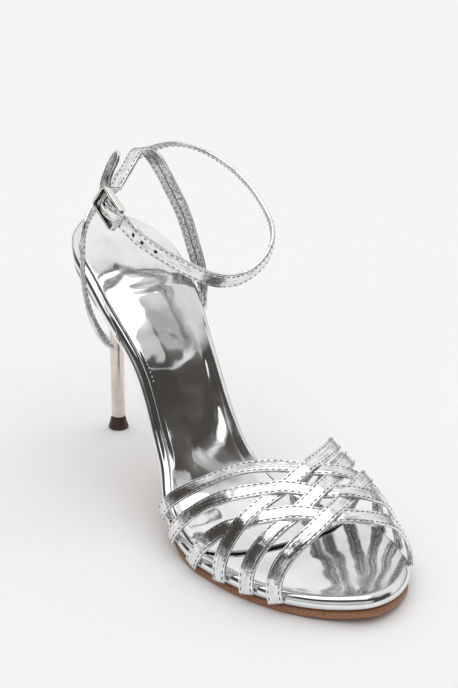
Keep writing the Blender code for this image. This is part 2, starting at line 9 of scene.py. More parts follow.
import bmesh
import bpy
import numpy as np
from mathutils import Matrix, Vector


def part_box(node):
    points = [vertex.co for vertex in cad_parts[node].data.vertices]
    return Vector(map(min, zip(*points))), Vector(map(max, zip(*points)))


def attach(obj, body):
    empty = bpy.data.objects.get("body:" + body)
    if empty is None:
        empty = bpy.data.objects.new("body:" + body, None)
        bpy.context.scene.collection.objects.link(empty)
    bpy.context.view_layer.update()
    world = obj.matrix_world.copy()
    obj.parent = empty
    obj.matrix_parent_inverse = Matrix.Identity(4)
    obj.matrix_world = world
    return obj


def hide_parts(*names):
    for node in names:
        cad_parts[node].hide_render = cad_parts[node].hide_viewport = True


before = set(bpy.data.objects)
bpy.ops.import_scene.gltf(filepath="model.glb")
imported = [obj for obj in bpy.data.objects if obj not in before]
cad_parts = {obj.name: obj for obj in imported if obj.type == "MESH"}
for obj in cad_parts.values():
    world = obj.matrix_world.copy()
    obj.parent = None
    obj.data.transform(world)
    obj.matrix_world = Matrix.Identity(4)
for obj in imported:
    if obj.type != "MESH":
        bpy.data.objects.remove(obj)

bl_info = {
    "name": "Ankle strap sandal",
    "version": (1, 0, 0),
    "blender": (4, 5, 0),
    "location": "View3D > Sidebar > Sandal",
    "description": "Builds a mirror foil sandal with a woven vamp, ankle straps and a pin heel",
    "category": "Add Mesh",
}

# A millimetre in metres, the gap between parts, the step for a direction, and the metres within
# which points are one
MM = 0.001
GAP = 0.3
SMALL_STEP = 0.001
MERGE = 1e-6
UP = (0.0, 0.0, 1.0)
DOWN = (0.0, 0.0, -1.0)
QUARTER_TURN = np.linspace(0.0, math.pi / 2, 5)

# Sole
HEEL_BACK = 22.5
TOE_TIP = -200.0
TOE_SHIFT = 2.0
# Length at the heel and at the toe over which all points share one spine point
HEEL_FAN = 22.0
TOE_FAN = 30.0
RIM_STEPS = 150
# Thickness of the board, and depth at which it is widest
BOARD_THICK = 5.6
WALL_DEPTH = 3.1
# Station along Y, height of the board's top over the floor
SIDE_PROFILE = (
    (30.0, 101.0), (22.5, 99.0), (0.0, 92.6), (-22.0, 84.0), (-55.0, 61.0), (-84.0, 32.0),
    (-98.0, 20.6), (-111.0, 13.0), (-126.0, 8.9), (-136.0, 8.5), (-172.0, 8.5), (-186.0, 9.2),
    (-200.0, 11.2), (-210.0, 13.2),
)
PROFILE_SOFTEN = 4.0
PROFILE_STEP = 0.5
# Station along Y, edge of the board on the outer side, edge on the inner side
PLAN = (
    (22.5, 0.0, 0.0), (18.0, -10.2, 10.6), (7.0, -19.2, 19.4), (-11.0, -25.4, 24.4),
    (-33.0, -26.4, 22.4), (-62.0, -23.4, 16.8), (-89.0, -27.4, 14.4), (-111.0, -36.0, 20.2),
    (-133.0, -38.8, 31.6), (-155.0, -35.4, 38.0), (-173.0, -28.4, 34.6), (-187.0, -18.6, 26.6),
    (-196.0, -8.4, 15.6), (-200.0, 2.0, 2.0),
)
# Rim of the board: distance in from the edge, distance below the top
RIM_SECTION = (
    (4.2, 0.0), (2.4, 0.25), (1.0, 1.0), (0.2, 2.1), (0.0, WALL_DEPTH), (0.3, 4.4), (1.2, 5.3),
    (2.6, BOARD_THICK),
)
RIM_ROWS = 22
# Outsole: station along Y, distance in from the board's edge, thickness
OUTSOLE = (
    (-40.0, 3.2, 1.5), (-97.0, 3.0, 1.5), (-128.0, 0.6, 2.6), (-200.0, 0.6, 2.6),
)
OUTSOLE_REAR = -46.0
OUTSOLE_CORNER = 8.0
OUTSOLE_BEVEL = 0.5
# Crown of the board's top ahead of the sock: its height, how flat it is, the stations where it is
# full and where it ends, and the rings of the top
TOE_CROWN = 0.8
TOE_FLAT = 4
TOE_FADE = (-167.0, -153.0)
TOP_ROWS = 16

# Sock
SOCK_THICK = 1.2
SOCK_ROWS = 70
SOCK_INSET = 2.9
SOCK_CROWN = 0.3
SOCK_FRONT = -151.0
SOCK_CORNER = 17.0
# Radius of the sock's edge, and height of the raw strip under it, painted near black as shade of
# the gap below the sock
SOCK_ROUND = 0.5
SOCK_RAW = 0.35
# Pad of the sock: its rise over the edge, the share of the half width where it levels out, how soft
# that crease is, and the stations between which it fades to the front
PAD_RISE = 0.85
PAD_EDGE = 0.52
PAD_CREASE = 0.05
PAD_FADE = (-146.0, -112.0)
# Swell of the sock along the foot: station, height
SOCK_SWELL = (
    (-150.0, 0.0), (-132.0, -0.15), (-120.0, -0.65), (-109.0, -0.9), (-97.0, -0.15), (-86.0, 0.65),
    (-72.0, 0.12), (-61.0, 0.3), (-47.0, 0.0), (-30.0, 0.0), (30.0, 0.0),
)
# Most that the sock's edge falls with it, and the share of the half width where the rest comes in
EDGE_FALL = 0.3
EDGE_SHARE = 0.07
# Soft troughs and ridges on the sock: x, y, half width and height at each point of a line
SOCK_FOLDS = (
    (
        (-17.0, -33.2, 0.9, -0.2),
        (-13.6, -32.8, 1.0, -0.5),
        (2.0, -31.6, 1.1, -0.55),
        (18.7, -30.0, 1.0, -0.4),
    ),
    ((-20.4, -33.6, 1.3, -0.2), (-18.2, -34.4, 1.3, -0.2)),
    (
        (8.4, -64.5, 1.2, -0.4),
        (6.0, -73.5, 2.2, -0.8),
        (2.9, -81.0, 3.2, -1.0),
        (-2.0, -87.0, 4.4, -1.25),
        (-9.0, -89.5, 5.0, -1.2),
    ),
    ((-21.0, -92.0, 3.0, 0.12), (-18.0, -98.0, 3.0, 0.16)),
)
# Stitches along the sock's outer edge: share of the way in, run, pitch and length
SEWN_SHARE = 0.06
SEWN_RUN = (-66.0, -51.0)
SEWN_PITCH = 1.35
SEWN_LENGTH = 0.9

# Heel
# Bowl: distance in from the board's edge, front end, its corners, straight lip, fullness, height
# and radius of its foot on the pin, turn and rows of its curve
CUP_INSET = 1.1
CUP_FRONT = -44.0
CUP_CORNER = 14.0
CUP_LIP = 0.8
CUP_SWELL = 1.65
CUP_SEAT = 66.4
CUP_FOOT = 4.5
CUP_TURN = 1.24
CUP_ROWS = 26
# How far the pin leans back up to the bowl's foot
PIN_LEAN = 2.1
TIP_HEIGHT = 5.4
# Height over the floor, radius
TIP_TURNING = (
    (0.0, 0.0), (0.0, 4.1), (0.2, 4.5), (0.6, 4.7), (1.4, 4.5), (3.4, 3.8), (TIP_HEIGHT - 0.3, 3.5),
    (TIP_HEIGHT, 3.2), (TIP_HEIGHT, 0.0),
)
PIN_TURNING = (
    (TIP_HEIGHT + GAP, 0.0), (TIP_HEIGHT + GAP, 2.8), (TIP_HEIGHT + 0.6, 3.05), (30.0, 3.15),
    (58.0, 3.35), (CUP_SEAT - GAP, 3.7), (CUP_SEAT - GAP, 0.0),
)
ROUND_STEPS = 72

# Vamp ribbons
RIBBON_THICK = 1.16
RIBBON_STEPS = 170
# Weave: rise at a crossing, and how far along the ribbon it reaches
WEAVE_RISE = 0.66
WEAVE_REACH = 5.5
# Arch of the ribbons: how far it clears the board's edge, depth of its feet, how full it is
ARCH_CLEAR = 1.35
ARCH_FOOT = 4.4
ARCH_FULL = 0.95
# Station along Y, highest point of the straps over the floor, lean of the top to the inner side
ARCH = (
    (-95.0, 45.9, 0.75), (-115.0, 45.9, 0.56), (-130.0, 46.4, 0.41), (-145.0, 43.0, 0.26),
    (-160.0, 37.9, 0.12), (-175.0, 31.6, -0.03), (-190.0, 24.2, -0.18),
)
# Station of the outer end, station of the inner end, bow of the run to the toe, sway of its two
# halves, 1 where it starts over and -1 under
BACK_RIBBONS = (
    (-106.4, -152.1, -23.4, 1.9, -1),
    (-117.5, -165.9, -21.6, -0.9, 1),
    (-135.9, -178.9, -17.0, -1.2, -1),
)
FORE_RIBBONS = (
    (-152.6, -113.0, -14.9, -2.5, 1),
    (-165.7, -120.4, -16.4, -2.7, -1),
    (-177.1, -134.1, -14.7, -1.7, 1),
)
# Shift of the foil's pattern from ribbon to ribbon
RIBBON_SHIFT = 40.0

# Section of ribbons and straps: share of the half thickness that rounds the edges, places across
# the face, its crown, inset, depth and half width of the sewn furrow, depth and half width of the
# groove down the back, share of the section left next to the closed ends
EDGE_ROUND = 0.62
FACE_PLACES = 33
FACE_CROWN = 0.1
SEAM_INSET = 1.0
SEAM_DEPTH = 0.1
SEAM_HALF = 0.3
GROOVE_DEPTH = 0.12
GROOVE_HALF = 0.35
END_SHRINK = 0.7
# Stitches: half width and half height, rise over the strap, distance from its ends, rings, sides
STITCH_HALF = (0.2, 0.15)
STITCH_RISE = 0.05
STITCH_CLEAR = 2.0
BEAD_ROWS = 7
BEAD_SIDES = 8

# Ankle straps
STRAP_THICK = 1.4
STRAP_STEP = 0.8
ANKLE_AXIS = (1.0, -46.0)
# Pointed end: its length, the share of the width at its tip, how full it is
POINT_LENGTH = 5.0
POINT_BLUNT = 0.12
POINT_FULL = 1.6
# Shift of the foil's pattern on the short strap
SHORT_SHIFT = 400.0
# Buckle: its middle, the way the strap runs through it to the front, and the way across it
BUCKLE_MIDDLE = (-32.3, -53.4, 124.4)
BUCKLE_ALONG = (0.06, -0.86, -0.51)
BUCKLE_ACROSS = (-0.27, 0.48, -0.83)
BUCKLE_LENGTH = 17.0
BUCKLE_WIDTH = 11.0
BUCKLE_WIRE = 1.2
BUCKLE_HALF_DEPTH = 1.1
BUCKLE_DROP = 2.3
BUCKLE_CORNER = 1.6
CORNER_STEPS = 9
HOOP_STEPS = 160
# Wire of the frame: sides, how round it is (1 fully), the sum of two neighbouring cosines below
# which a face is an inner one and gets painted shade, and the distances from the middle between
# which it gets shallower
WIRE_SIDES = 20
WIRE_POWER = 0.5
HOOP_INSIDE = -0.9
END_RISE = (5.9, 7.6)
# Bar: place along the buckle, place outwards, radius
BAR_PLACE = -1.0
BAR_MIDDLE = -1.6
BAR_RADIUS = 0.62
# Strap in the buckle: half the run, how far below the frame's ends and how far out over the bar
BUCKLE_REACH = (BUCKLE_LENGTH - BUCKLE_WIRE) / 2
STRAP_CLEAR = BUCKLE_HALF_DEPTH + 4 * GAP + STRAP_THICK / 2
STRAP_RISE = 0.35
# Prong: thickness, what it loses to the tip, between which shares of its length, share that is
# rounded at each end, step and sides
PRONG_THICK = 1.1
PRONG_THIN = 0.3
PRONG_TAPER = (0.4, 1.0)
PRONG_TIP = 0.03
PRONG_STEP = 0.25
PRONG_SIDES = 16
# Place along the buckle, place outwards of it: from the bar, up through the strap, onto the front
PRONG_ROUTE = (
    (-3.4, -2.2), (-3.9, -0.8), (-3.0, 1.4), (-0.8, 2.6), (4.0, 2.4), (8.9, 2.0),
)
# Slot for the prong: half sizes along, across and out, and its place along the buckle
SLOT_HALF = (1.8, 1.0, 3.0)
SLOT_PLACE = -3.2
# Distance of the punched holes ahead of the buckle's front edge, along the strap
HOLE_PLACES = (6.5, 11.5, 17.5)
HOLE_DEPTH = 1.5
PEG_SIDES = 24
# Ribbed tab: its size, how it passes under the bar, its ribs and how square its section is
TAB_WIDTH = 5.4
TAB_THICK = 0.9
TAB_STEP = 0.3
TAB_DIP = 2.2
TAB_BEFORE = 4.0
TAB_BEYOND = 2.0
TAB_RIBS = 6
RIB_RISE = 0.16
TAB_PLACES = 61
TAB_SQUARE = 8

# Finishes: stretch of the smears, of the streaks along a strap and of the lines in metal
SMEAR = (1.0, 0.35, 1.0)
STREAK = (0.16, 1.3, 1.0)
DRAWN = (1.0, 1.0, 0.03)
# Share of the fine waves in wrapped foil, and of the streaks in a strap's relief
FOIL_RAGGED = 0.02
STREAK_SHARE = 0.3
# Depth in metres of the relief of a strap's face, of its back, and of the lines in metal
STREAK_DEPTH = 0.0002
BACK_DEPTH = 0.0004
LINE_DEPTH = 0.00002
# How much rougher smudges and flecks are
SMUDGE_ROUGH = 0.09
FLECK_ROUGH = 0.12
# Share of a colour left in smudges, streaks, the mottle of a strap's back (painted shade of its
# hollows), the back's seam, blotches, the heel's bowl (painted shade), the inside of the buckle
# (painted shade) and the grain of the floor
SMUDGED = 0.86
STREAKED = 0.64
HOLLOW_PAINTED_SHADE = 0.5
SEAM_DARK = 0.14
BLOTCHED = 0.8
CUP_PAINTED_SHADE = 0.62
HOOP_PAINTED_SHADE = 0.16
PAPER_FLECK = 0.98
# Distance from the middle of a strap's back where the seam is full and where it ends
SEAM_LINE = (0.12, 0.34)
PALE_THREAD = (0.85, 0.85, 0.84)
PAPER_ROUGH = 0.9
PAPER_SHEEN = 0.1

# Camera: its place, and the directions of its right, up and back
CAMERA_PLACE = (-313.87018, -598.74513, 304.03602)
CAMERA_AXES = (
    (0.85247998, -0.52231995, 0.02144179),
    (0.17171413, 0.31852428, 0.93223202),
    (-0.49375311, -0.79102728, 0.36122529),
)
CAMERA_LENS = 82.5
SENSOR_HEIGHT = 36.0
CAMERA_CLIP = (0.01, 100.0)
FLOOR_REACH = 12000.0
# The room that the foil mirrors, from the horizon ahead over the top to the rear: degrees, tone
ROOM_ARCH = (
    (0.0, 0.38), (20.0, 0.75), (35.0, 0.93), (56.0, 0.93), (66.0, 0.74), (77.0, 0.7), (80.0, 0.56),
    (82.0, 0.47), (85.2, 0.38), (85.6, 0.38), (85.9, 0.75), (86.3, 0.75), (86.7, 0.17),
    (90.0, 0.13), (95.0, 0.09), (104.0, 0.06), (126.0, 0.05), (136.0, 0.5), (150.0, 0.7),
    (166.0, 0.5), (180.0, 0.35),
)
HALF_TURN = 180.0
# How warm black is, and the tone from which greys are neutral
WARMTH = 0.1
WARM_BELOW = 0.4
# Tones of the room's side walls and of what is below the horizon, and where each begins and is
# full: to the right, there only above a rise in radians, to the left, and below
ROOM_DARK = (0.075, 0.068, 0.06)
ROOM_GREY = (0.35, 0.35, 0.35)
RIGHT_WALL = (0.62, 0.7)
RIGHT_RISE = (1.0, 1.1)
LEFT_WALL = (-0.65, -0.79)
LOW_WALL = (-0.2, -0.1)
# Lights: place of the middle, size across and along the view, power, whether the foil mirrors it
# and whether it lights what isn't foil
LIGHTS = {
    "ceiling_panel": ((-0.1083, 0.1335, 1.2), (1.115, 0.8), 3.42, True, False),
    "left_panel": ((-0.865, 0.431, 1.2), (0.48, 1.096), 2.0, True, False),
    "rear_panel": ((0.327, -0.242, 1.19), (0.21, 0.315), 0.1, True, False),
    "floor_fill": ((0.1, 0.1, 5.0), (12.0, 12.0), 425.0, False, True),
}
# Level way of the view
VIEW_AHEAD = (0.53, 0.85, 0.0)


def through(stations, values, at):
    """Cubic curve through a table's points that doesn't overshoot them."""
    order = np.argsort(stations)
    x = np.asarray(stations, float)[order]
    y = np.asarray(values, float)[order]
    step = np.diff(x)
    rise = np.diff(y) / step
    slope = np.zeros_like(y)
    slope[0] = rise[0]
    slope[-1] = rise[-1]
    before = rise[:-1]
    after = rise[1:]
    same = before * after > 0
    far = 2 * step[1:] + step[:-1]
    near = step[1:] + 2 * step[:-1]
    inner = np.zeros(len(same))
    inner[same] = (far + near)[same] / (far[same] / before[same] + near[same] / after[same])
    slope[1:-1] = inner
    at = np.clip(at, x[0], x[-1])
    k = np.clip(np.searchsorted(x, at, side="right") - 1, 0, len(step) - 1)
    t = (at - x[k]) / step[k]
    return (
        y[k] * (1 + 2 * t) * (1 - t) ** 2
        + slope[k] * step[k] * t * (1 - t) ** 2
        + y[k + 1] * t * t * (3 - 2 * t)
        + slope[k + 1] * step[k] * t * t * (t - 1)
    )


def column(rows, index):
    """One column of a table."""
    return [row[index] for row in rows]


def unit(vectors):
    """Vectors scaled to length one."""
    vectors = np.asarray(vectors, float)
    return vectors / np.linalg.norm(vectors, axis=-1, keepdims=True)


def full_turn(steps):
    """Angles of a full turn in even steps, without its end."""
    return np.linspace(0.0, 2 * math.pi, steps, endpoint=False)


def grid_of(*parts):
    """Points from arrays of their coordinates, spread over the same rows and columns."""
    return np.stack(np.broadcast_arrays(*parts), axis=-1)


def curve_through(points, step):
    """Rows a step apart on a natural cubic spline through a route's rows, by chord length."""
    points = np.asarray(points, float)
    chord = np.linalg.norm(np.diff(points[:, :3], axis=0), axis=1)
    knots = np.concatenate([[0.0], np.cumsum(chord)])
    count = len(points)
    system = np.eye(count)
    target = np.zeros_like(points)
    for k in range(1, count - 1):
        system[k, k - 1:k + 2] = chord[k - 1], 2 * (chord[k - 1] + chord[k]), chord[k]
        after = (points[k + 1] - points[k]) / chord[k]
        before = (points[k] - points[k - 1]) / chord[k - 1]
        target[k] = 6 * (after - before)
    bend = np.linalg.solve(system, target)
    along = np.linspace(0.0, knots[-1], int(round(knots[-1] / step)) + 1)
    k = np.clip(np.searchsorted(knots, along, side="right") - 1, 0, count - 2)
    h = chord[k][:, None]
    a = (knots[k + 1] - along)[:, None] / h
    b = 1 - a
    cubic = (a**3 - a) * bend[k] + (b**3 - b) * bend[k + 1]
    return a * points[k] + b * points[k + 1] + cubic * h * h / 6


def soft_step(low, high, at):
    """Smooth step from 0 at low to 1 at high."""
    t = np.clip((at - low) / (high - low), 0.0, 1.0)
    return t * t * (3 - 2 * t)


def soft_heights(stations):
    """The side profile, softened by a bell curve so that its bends flow into each other."""
    heights = through(column(SIDE_PROFILE, 0), column(SIDE_PROFILE, 1), stations)
    reach = np.arange(-3 * PROFILE_SOFTEN, 3 * PROFILE_SOFTEN + PROFILE_STEP / 2, PROFILE_STEP)
    bell = np.exp(-0.5 * (reach / PROFILE_SOFTEN) ** 2)
    padded = np.pad(heights, len(reach) // 2, mode="reflect", reflect_type="odd")
    return np.convolve(padded, bell / bell.sum(), mode="valid")


STATIONS = np.arange(SIDE_PROFILE[-1][0], SIDE_PROFILE[0][0], PROFILE_STEP)
HEIGHTS = soft_heights(STATIONS)
SLOPES = np.gradient(HEIGHTS, STATIONS)


def bed(x, y, lift):
    """Point over the board's top: x across, station y, lifted along the profile's normal."""
    height = np.interp(y, STATIONS, HEIGHTS)
    slope = np.interp(y, STATIONS, SLOPES)
    run = np.hypot(1.0, slope)
    x, y, lift = np.broadcast_arrays(x, y, lift)
    return np.stack([x, y - lift * slope / run, height + lift / run], axis=-1)


def middle(y):
    """Middle line of the plan, from the heel's back to the tip of the toe."""
    return TOE_SHIFT * (HEEL_BACK - np.asarray(y, float)) / (HEEL_BACK - TOE_TIP)


def edge(y, side):
    """Edge of the board at a station, side -1 outer and 1 inner.

    The squares of the half widths are smoothed, which makes both ends round.
    """
    index = 1 if side < 0 else 2
    squares = [(row[index] - middle(row[0])) ** 2 for row in PLAN]
    return middle(y) + side * np.sqrt(np.maximum(through(column(PLAN, 0), squares, y), 0.0))


def cap(distance, corner):
    """Share of the width left at a distance from a blunt end with elliptic corners."""
    if corner == 0:
        return np.ones_like(distance)
    short = np.clip(1 - distance / corner, 0.0, 1.0)
    return np.sqrt(1 - short**2)


def rim(rear, front, rear_corner=0.0, front_corner=0.0, rear_fan=HEEL_FAN, front_fan=TOE_FAN):
    """Closed plan line between two stations, and for each point the spine point inside it."""
    turn = np.linspace(0.0, math.pi, RIM_STEPS + 1)
    y = (rear + front) / 2 + (rear - front) / 2 * np.cos(turn)
    squeeze = cap(rear - y, rear_corner) * cap(y - front, front_corner)
    outer = middle(y) + (edge(y, -1) - middle(y)) * squeeze
    inner = middle(y) + (edge(y, 1) - middle(y)) * squeeze
    line_y = np.concatenate([y, y[-2:0:-1]])
    line_x = np.concatenate([outer, inner[-2:0:-1]])
    spine_y = np.clip(line_y, front + front_fan, rear - rear_fan)
    return np.stack([line_x, line_y], -1), np.stack([middle(spine_y), spine_y], -1)


def blunt_rim(front, corner):
    """The plan line from the heel's back to a blunt front with round corners."""
    return rim(HEEL_BACK, front, front_corner=corner, front_fan=corner)


def plan_ring(line, spine, inset=0.0, share=0.0):
    """The plan line moved in by a distance, then by a share of what is left to the spine."""
    reach = np.linalg.norm(line - spine, axis=1)
    left = np.maximum(reach - inset, 0.0) * (1 - share)
    return spine + (line - spine) * (left / reach)[:, None]


def ring(line, spine, inset=0.0, lift=0.0, share=0.0):
    """A plan ring lifted off the bed."""
    plan = plan_ring(line, spine, inset, share)
    return bed(plan[:, 0], plan[:, 1], lift)


def lattice(rows, columns, closed_rows=False, closed_columns=True):
    """Faces of a grid of points, row by row, joined across its ends where it is closed."""
    r = np.arange(rows if closed_rows else rows - 1)
    c = np.arange(columns if closed_columns else columns - 1)
    r, c = np.meshgrid(r, c, indexing="ij")
    down = (r + 1) % rows
    over = (c + 1) % columns
    corners = [r * columns + c, r * columns + over, down * columns + over, down * columns + c]
    return np.stack(corners, axis=-1).reshape(-1, 4)


def shoe_shift():
    """Where the middle of the heel tip's foot is in the frame, in metres."""
    low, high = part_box("heel_tip")
    return np.array([(low[0] + high[0]) / 2, (low[1] + high[1]) / 2, 0.0])


def put(name, data):
    """A new object of the scene."""
    thing = bpy.data.objects.new(name, data)
    bpy.context.scene.collection.objects.link(thing)
    return thing


def add_mesh(name, points, faces, materials, finish_of=None, place=None):
    """An object from arrays of points and faces, its seams and poles closed, its faces outwards.

    finish_of gives each face one of the materials, and place each point its pattern coordinates.
    """
    mesh = bpy.data.meshes.new(name)
    mesh.from_pydata((points * MM + shoe_shift()).tolist(), [], faces.tolist())
    if finish_of is not None:
        mesh.polygons.foreach_set("material_index", np.asarray(finish_of, dtype=np.int32))
    if place is not None:
        mesh.attributes.new("strap_place", "FLOAT_VECTOR", "POINT")
        flat = np.ascontiguousarray(place, float).ravel()
        mesh.attributes["strap_place"].data.foreach_set("vector", flat)
    shape = bmesh.new()
    shape.from_mesh(mesh)
    bmesh.ops.remove_doubles(shape, verts=shape.verts, dist=MERGE)
    bmesh.ops.dissolve_degenerate(shape, edges=shape.edges, dist=MERGE / 10)
    bmesh.ops.recalc_face_normals(shape, faces=shape.faces)
    shape.to_mesh(mesh)
    shape.free()
    mesh.shade_smooth()
    for material in materials:
        mesh.materials.append(material)
    return put(name, mesh)


def add_rings(name, rings, *finish_names, finish_of=None):
    """A piece from closed rings of points, one after the other."""
    points = np.concatenate(rings)
    faces = lattice(len(rings), len(rings[0]))
    return add_mesh(name, points, faces, finishes(*finish_names), finish_of)


def add_strap(name, arrays, *finish_names):
    """A piece from a strap's arrays: points, faces, places and which faces are the back."""
    points, faces, place, inside = arrays
    return add_mesh(name, points, faces, finishes(*finish_names), inside, place)


def dress(piece, slot, *nodes):
    """The piece rides on the shoe and stands for these CAD nodes, which it hides; slot is not used.
    """
    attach(piece, "root")
    if nodes:
        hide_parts(*nodes)


def feed(tree, socket, value):
    """Give a socket a link or a constant."""
    if isinstance(value, bpy.types.NodeSocket):
        tree.links.new(value, socket)
    else:
        socket.default_value = value


def add_node(tree, kind, settings=None, **inputs):
    """A shader node with its settings, and values or links for its inputs (space as underscore)."""
    made = tree.nodes.new(kind)
    for key, value in (settings or {}).items():
        setattr(made, key, value)
    for key, value in inputs.items():
        feed(tree, made.inputs[key.replace("_", " ")], value)
    return made


def noise(tree, vector, scale, detail=2.0, roughness=0.5):
    """Value of a noise texture."""
    inputs = {"Vector": vector, "Scale": scale, "Detail": detail, "Roughness": roughness}
    return add_node(tree, "ShaderNodeTexNoise", **inputs).outputs[0]


def remap(tree, value, low, high, to_low=0.0, to_high=1.0):
    """A value from one range carried into another, held at its ends."""
    ends = {"From_Min": low, "From_Max": high, "To_Min": to_low, "To_Max": to_high}
    return add_node(tree, "ShaderNodeMapRange", Value=value, **ends).outputs[0]


def math_node(tree, operation, first, second=0.0):
    """One step of arithmetic."""
    made = add_node(tree, "ShaderNodeMath", {"operation": operation})
    feed(tree, made.inputs[0], first)
    feed(tree, made.inputs[1], second)
    return made.outputs[0]


def blend_colour(tree, factor, first, second):
    """Two colours mixed by a factor."""
    made = add_node(tree, "ShaderNodeMix", {"data_type": "RGBA"})
    feed(tree, made.inputs[0], factor)
    for index, value in ((6, first), (7, second)):
        linked = isinstance(value, bpy.types.NodeSocket)
        feed(tree, made.inputs[index], value if linked else (*value, 1.0))
    return made.outputs[2]


def stretch(tree, vector, scale):
    """Coordinates stretched by a scale for each axis."""
    return add_node(tree, "ShaderNodeMapping", Vector=vector, Scale=scale).outputs[0]


def new_group(name, inputs, outputs):
    """An empty node group with its sockets: the group, its inputs and its output node."""
    group = bpy.data.node_groups.new(name, "ShaderNodeTree")
    for label, kind, value in inputs:
        socket = group.interface.new_socket(label, in_out="INPUT", socket_type=kind)
        if value is not None:
            socket.default_value = value
    for label in outputs:
        group.interface.new_socket(label, in_out="OUTPUT", socket_type="NodeSocketFloat")
    return group, group.nodes.new("NodeGroupInput").outputs, group.nodes.new("NodeGroupOutput")


def group_node(tree, name, **inputs):
    """A node group in use."""
    return add_node(tree, "ShaderNodeGroup", {"node_tree": bpy.data.node_groups[name]}, **inputs)


def make_groups():
    """Shared effects: how foil crinkles and smudges, and how a fine grain lies on it."""
    vector = ("Vector", "NodeSocketVector", None)
    group, given, out = new_group(
        "foil_crinkle",
        (
            vector,
            ("Broad", "NodeSocketFloat", 60.0),
            ("Fine", "NodeSocketFloat", 420.0),
            ("Fine Share", "NodeSocketFloat", 0.05),
        ),
        ("Height", "Smudge"),
    )
    broad = noise(group, given["Vector"], given["Broad"], 1.0, 0.35)
    fine = noise(group, given["Vector"], given["Fine"], 1.0, 0.4)
    fine = math_node(group, "MULTIPLY", fine, given["Fine Share"])
    group.links.new(math_node(group, "ADD", broad, fine), out.inputs["Height"])
    smeared = stretch(group, given["Vector"], SMEAR)
    smear = noise(group, smeared, given["Broad"], 4.0, 0.6)
    group.links.new(remap(group, smear, 0.42, 0.72), out.inputs["Smudge"])

    group, given, out = new_group(
        "fine_grain", (vector, ("Scale", "NodeSocketFloat", 1500.0)), ("Height", "Fleck")
    )
    grain = noise(group, given["Vector"], given["Scale"], 3.0, 0.6)
    group.links.new(grain, out.inputs["Height"])
    group.links.new(remap(group, grain, 0.48, 0.7), out.inputs["Fleck"])


def new_finish(name):
    """The node tree of a new material, and the inputs of its shader."""
    finish = bpy.data.materials.new(name)
    finish.use_nodes = True
    return finish.node_tree, finish.node_tree.nodes["Principled BSDF"].inputs


def wear(tree, shader, colour, rough, normal, metal=1.0):
    """Give a shader its colour, its roughness, its normal and how much of it is metal."""
    feed(tree, shader["Base Color"], colour)
    feed(tree, shader["Roughness"], rough)
    feed(tree, shader["Normal"], normal)
    feed(tree, shader["Metallic"], metal)


def darker(colour, share):
    """A colour brought down to a share of itself."""
    return tuple(share * part for part in colour)


def object_place(tree):
    """Coordinates of the object itself, in metres."""
    return tree.nodes.new("ShaderNodeTexCoord").outputs["Object"]


def strap_place(tree):
    """Coordinates along and across a strap, in millimetres."""
    named = {"attribute_name": "strap_place"}
    return add_node(tree, "ShaderNodeAttribute", named).outputs["Vector"]


def bump(tree, height, distance):
    """A normal from a height, with its depth in metres."""
    made = add_node(tree, "ShaderNodeBump", Height=height, Distance=distance, Strength=1.0)
    return made.outputs[0]


def wrap_foil(name, colour, broad, fine, depth, rough):
    """Mirror foil over a soft base: slow waves bend what it mirrors, smudges dull it in places."""
    tree, shader = new_finish(name)
    waves = {"Broad": broad, "Fine": fine, "Fine_Share": FOIL_RAGGED}
    crinkle = group_node(tree, "foil_crinkle", Vector=object_place(tree), **waves)
    smudge = crinkle.outputs["Smudge"]
    shade = blend_colour(tree, smudge, colour, darker(colour, SMUDGED))
    gloss = remap(tree, smudge, 0.0, 1.0, rough, rough + SMUDGE_ROUGH)
    wear(tree, shader, shade, gloss, bump(tree, crinkle.outputs["Height"], depth))


def strap_foil(name, colour):
    """Mirror foil on a strap: streaks along it, and waves that break up what it mirrors."""
    tree, shader = new_finish(name)
    place = strap_place(tree)
    streak = noise(tree, stretch(tree, place, STREAK), 1.0, 3.0)
    crinkle = group_node(tree, "foil_crinkle", Vector=place, Broad=0.3, Fine=1.5, Fine_Share=0.2)
    lines = math_node(tree, "MULTIPLY", streak, STREAK_SHARE)
    height = math_node(tree, "ADD", crinkle.outputs["Height"], lines)
    shade = blend_colour(tree, remap(tree, streak, 0.44, 0.64), colour, darker(colour, STREAKED))
    gloss = remap(tree, streak, 0.3, 0.75, 0.07, 0.2)
    wear(tree, shader, shade, gloss, bump(tree, height, STREAK_DEPTH))


def strap_back(name, colour):
    """Turned-in side of a strap: foil in a close crinkle, a darker, duller mottle as painted shade
    of its hollows, a seam down it.
    """
    tree, shader = new_finish(name)
    place = strap_place(tree)
    crinkle = group_node(tree, "foil_crinkle", Vector=place, Broad=0.55, Fine=1.5, Fine_Share=0.5)
    mottle = noise(tree, place, 0.9, 3.0, 0.6)
    across = add_node(tree, "ShaderNodeSeparateXYZ", Vector=place).outputs["Y"]
    seam = remap(tree, math_node(tree, "ABSOLUTE", across), *SEAM_LINE, 1.0, 0.0)
    # The darker, duller mottle is painted shade of the crinkle's hollows, laid by its own noise
    # apart from the relief
    hollow_painted_shade = blend_colour(tree, remap(tree, mottle, 0.42, 0.64), colour, darker(colour, HOLLOW_PAINTED_SHADE))
    shade = blend_colour(tree, seam, hollow_painted_shade, darker(colour, SEAM_DARK))
    gloss = remap(tree, mottle, 0.35, 0.65, 0.14, 0.36)
    wear(tree, shader, shade, gloss, bump(tree, crinkle.outputs["Height"], BACK_DEPTH))


def grained(name, colour, dark, scale, depth, rough):
    """A plain material with a close grain and darker flecks."""
    tree, shader = new_finish(name)
    grain = group_node(tree, "fine_grain", Vector=object_place(tree), Scale=scale)
    fleck = grain.outputs["Fleck"]
    gloss = remap(tree, fleck, 0.0, 1.0, rough, rough + FLECK_ROUGH)
    shade = blend_colour(tree, fleck, colour, dark)
    wear(tree, shader, shade, gloss, bump(tree, grain.outputs["Height"], depth), metal=0.0)


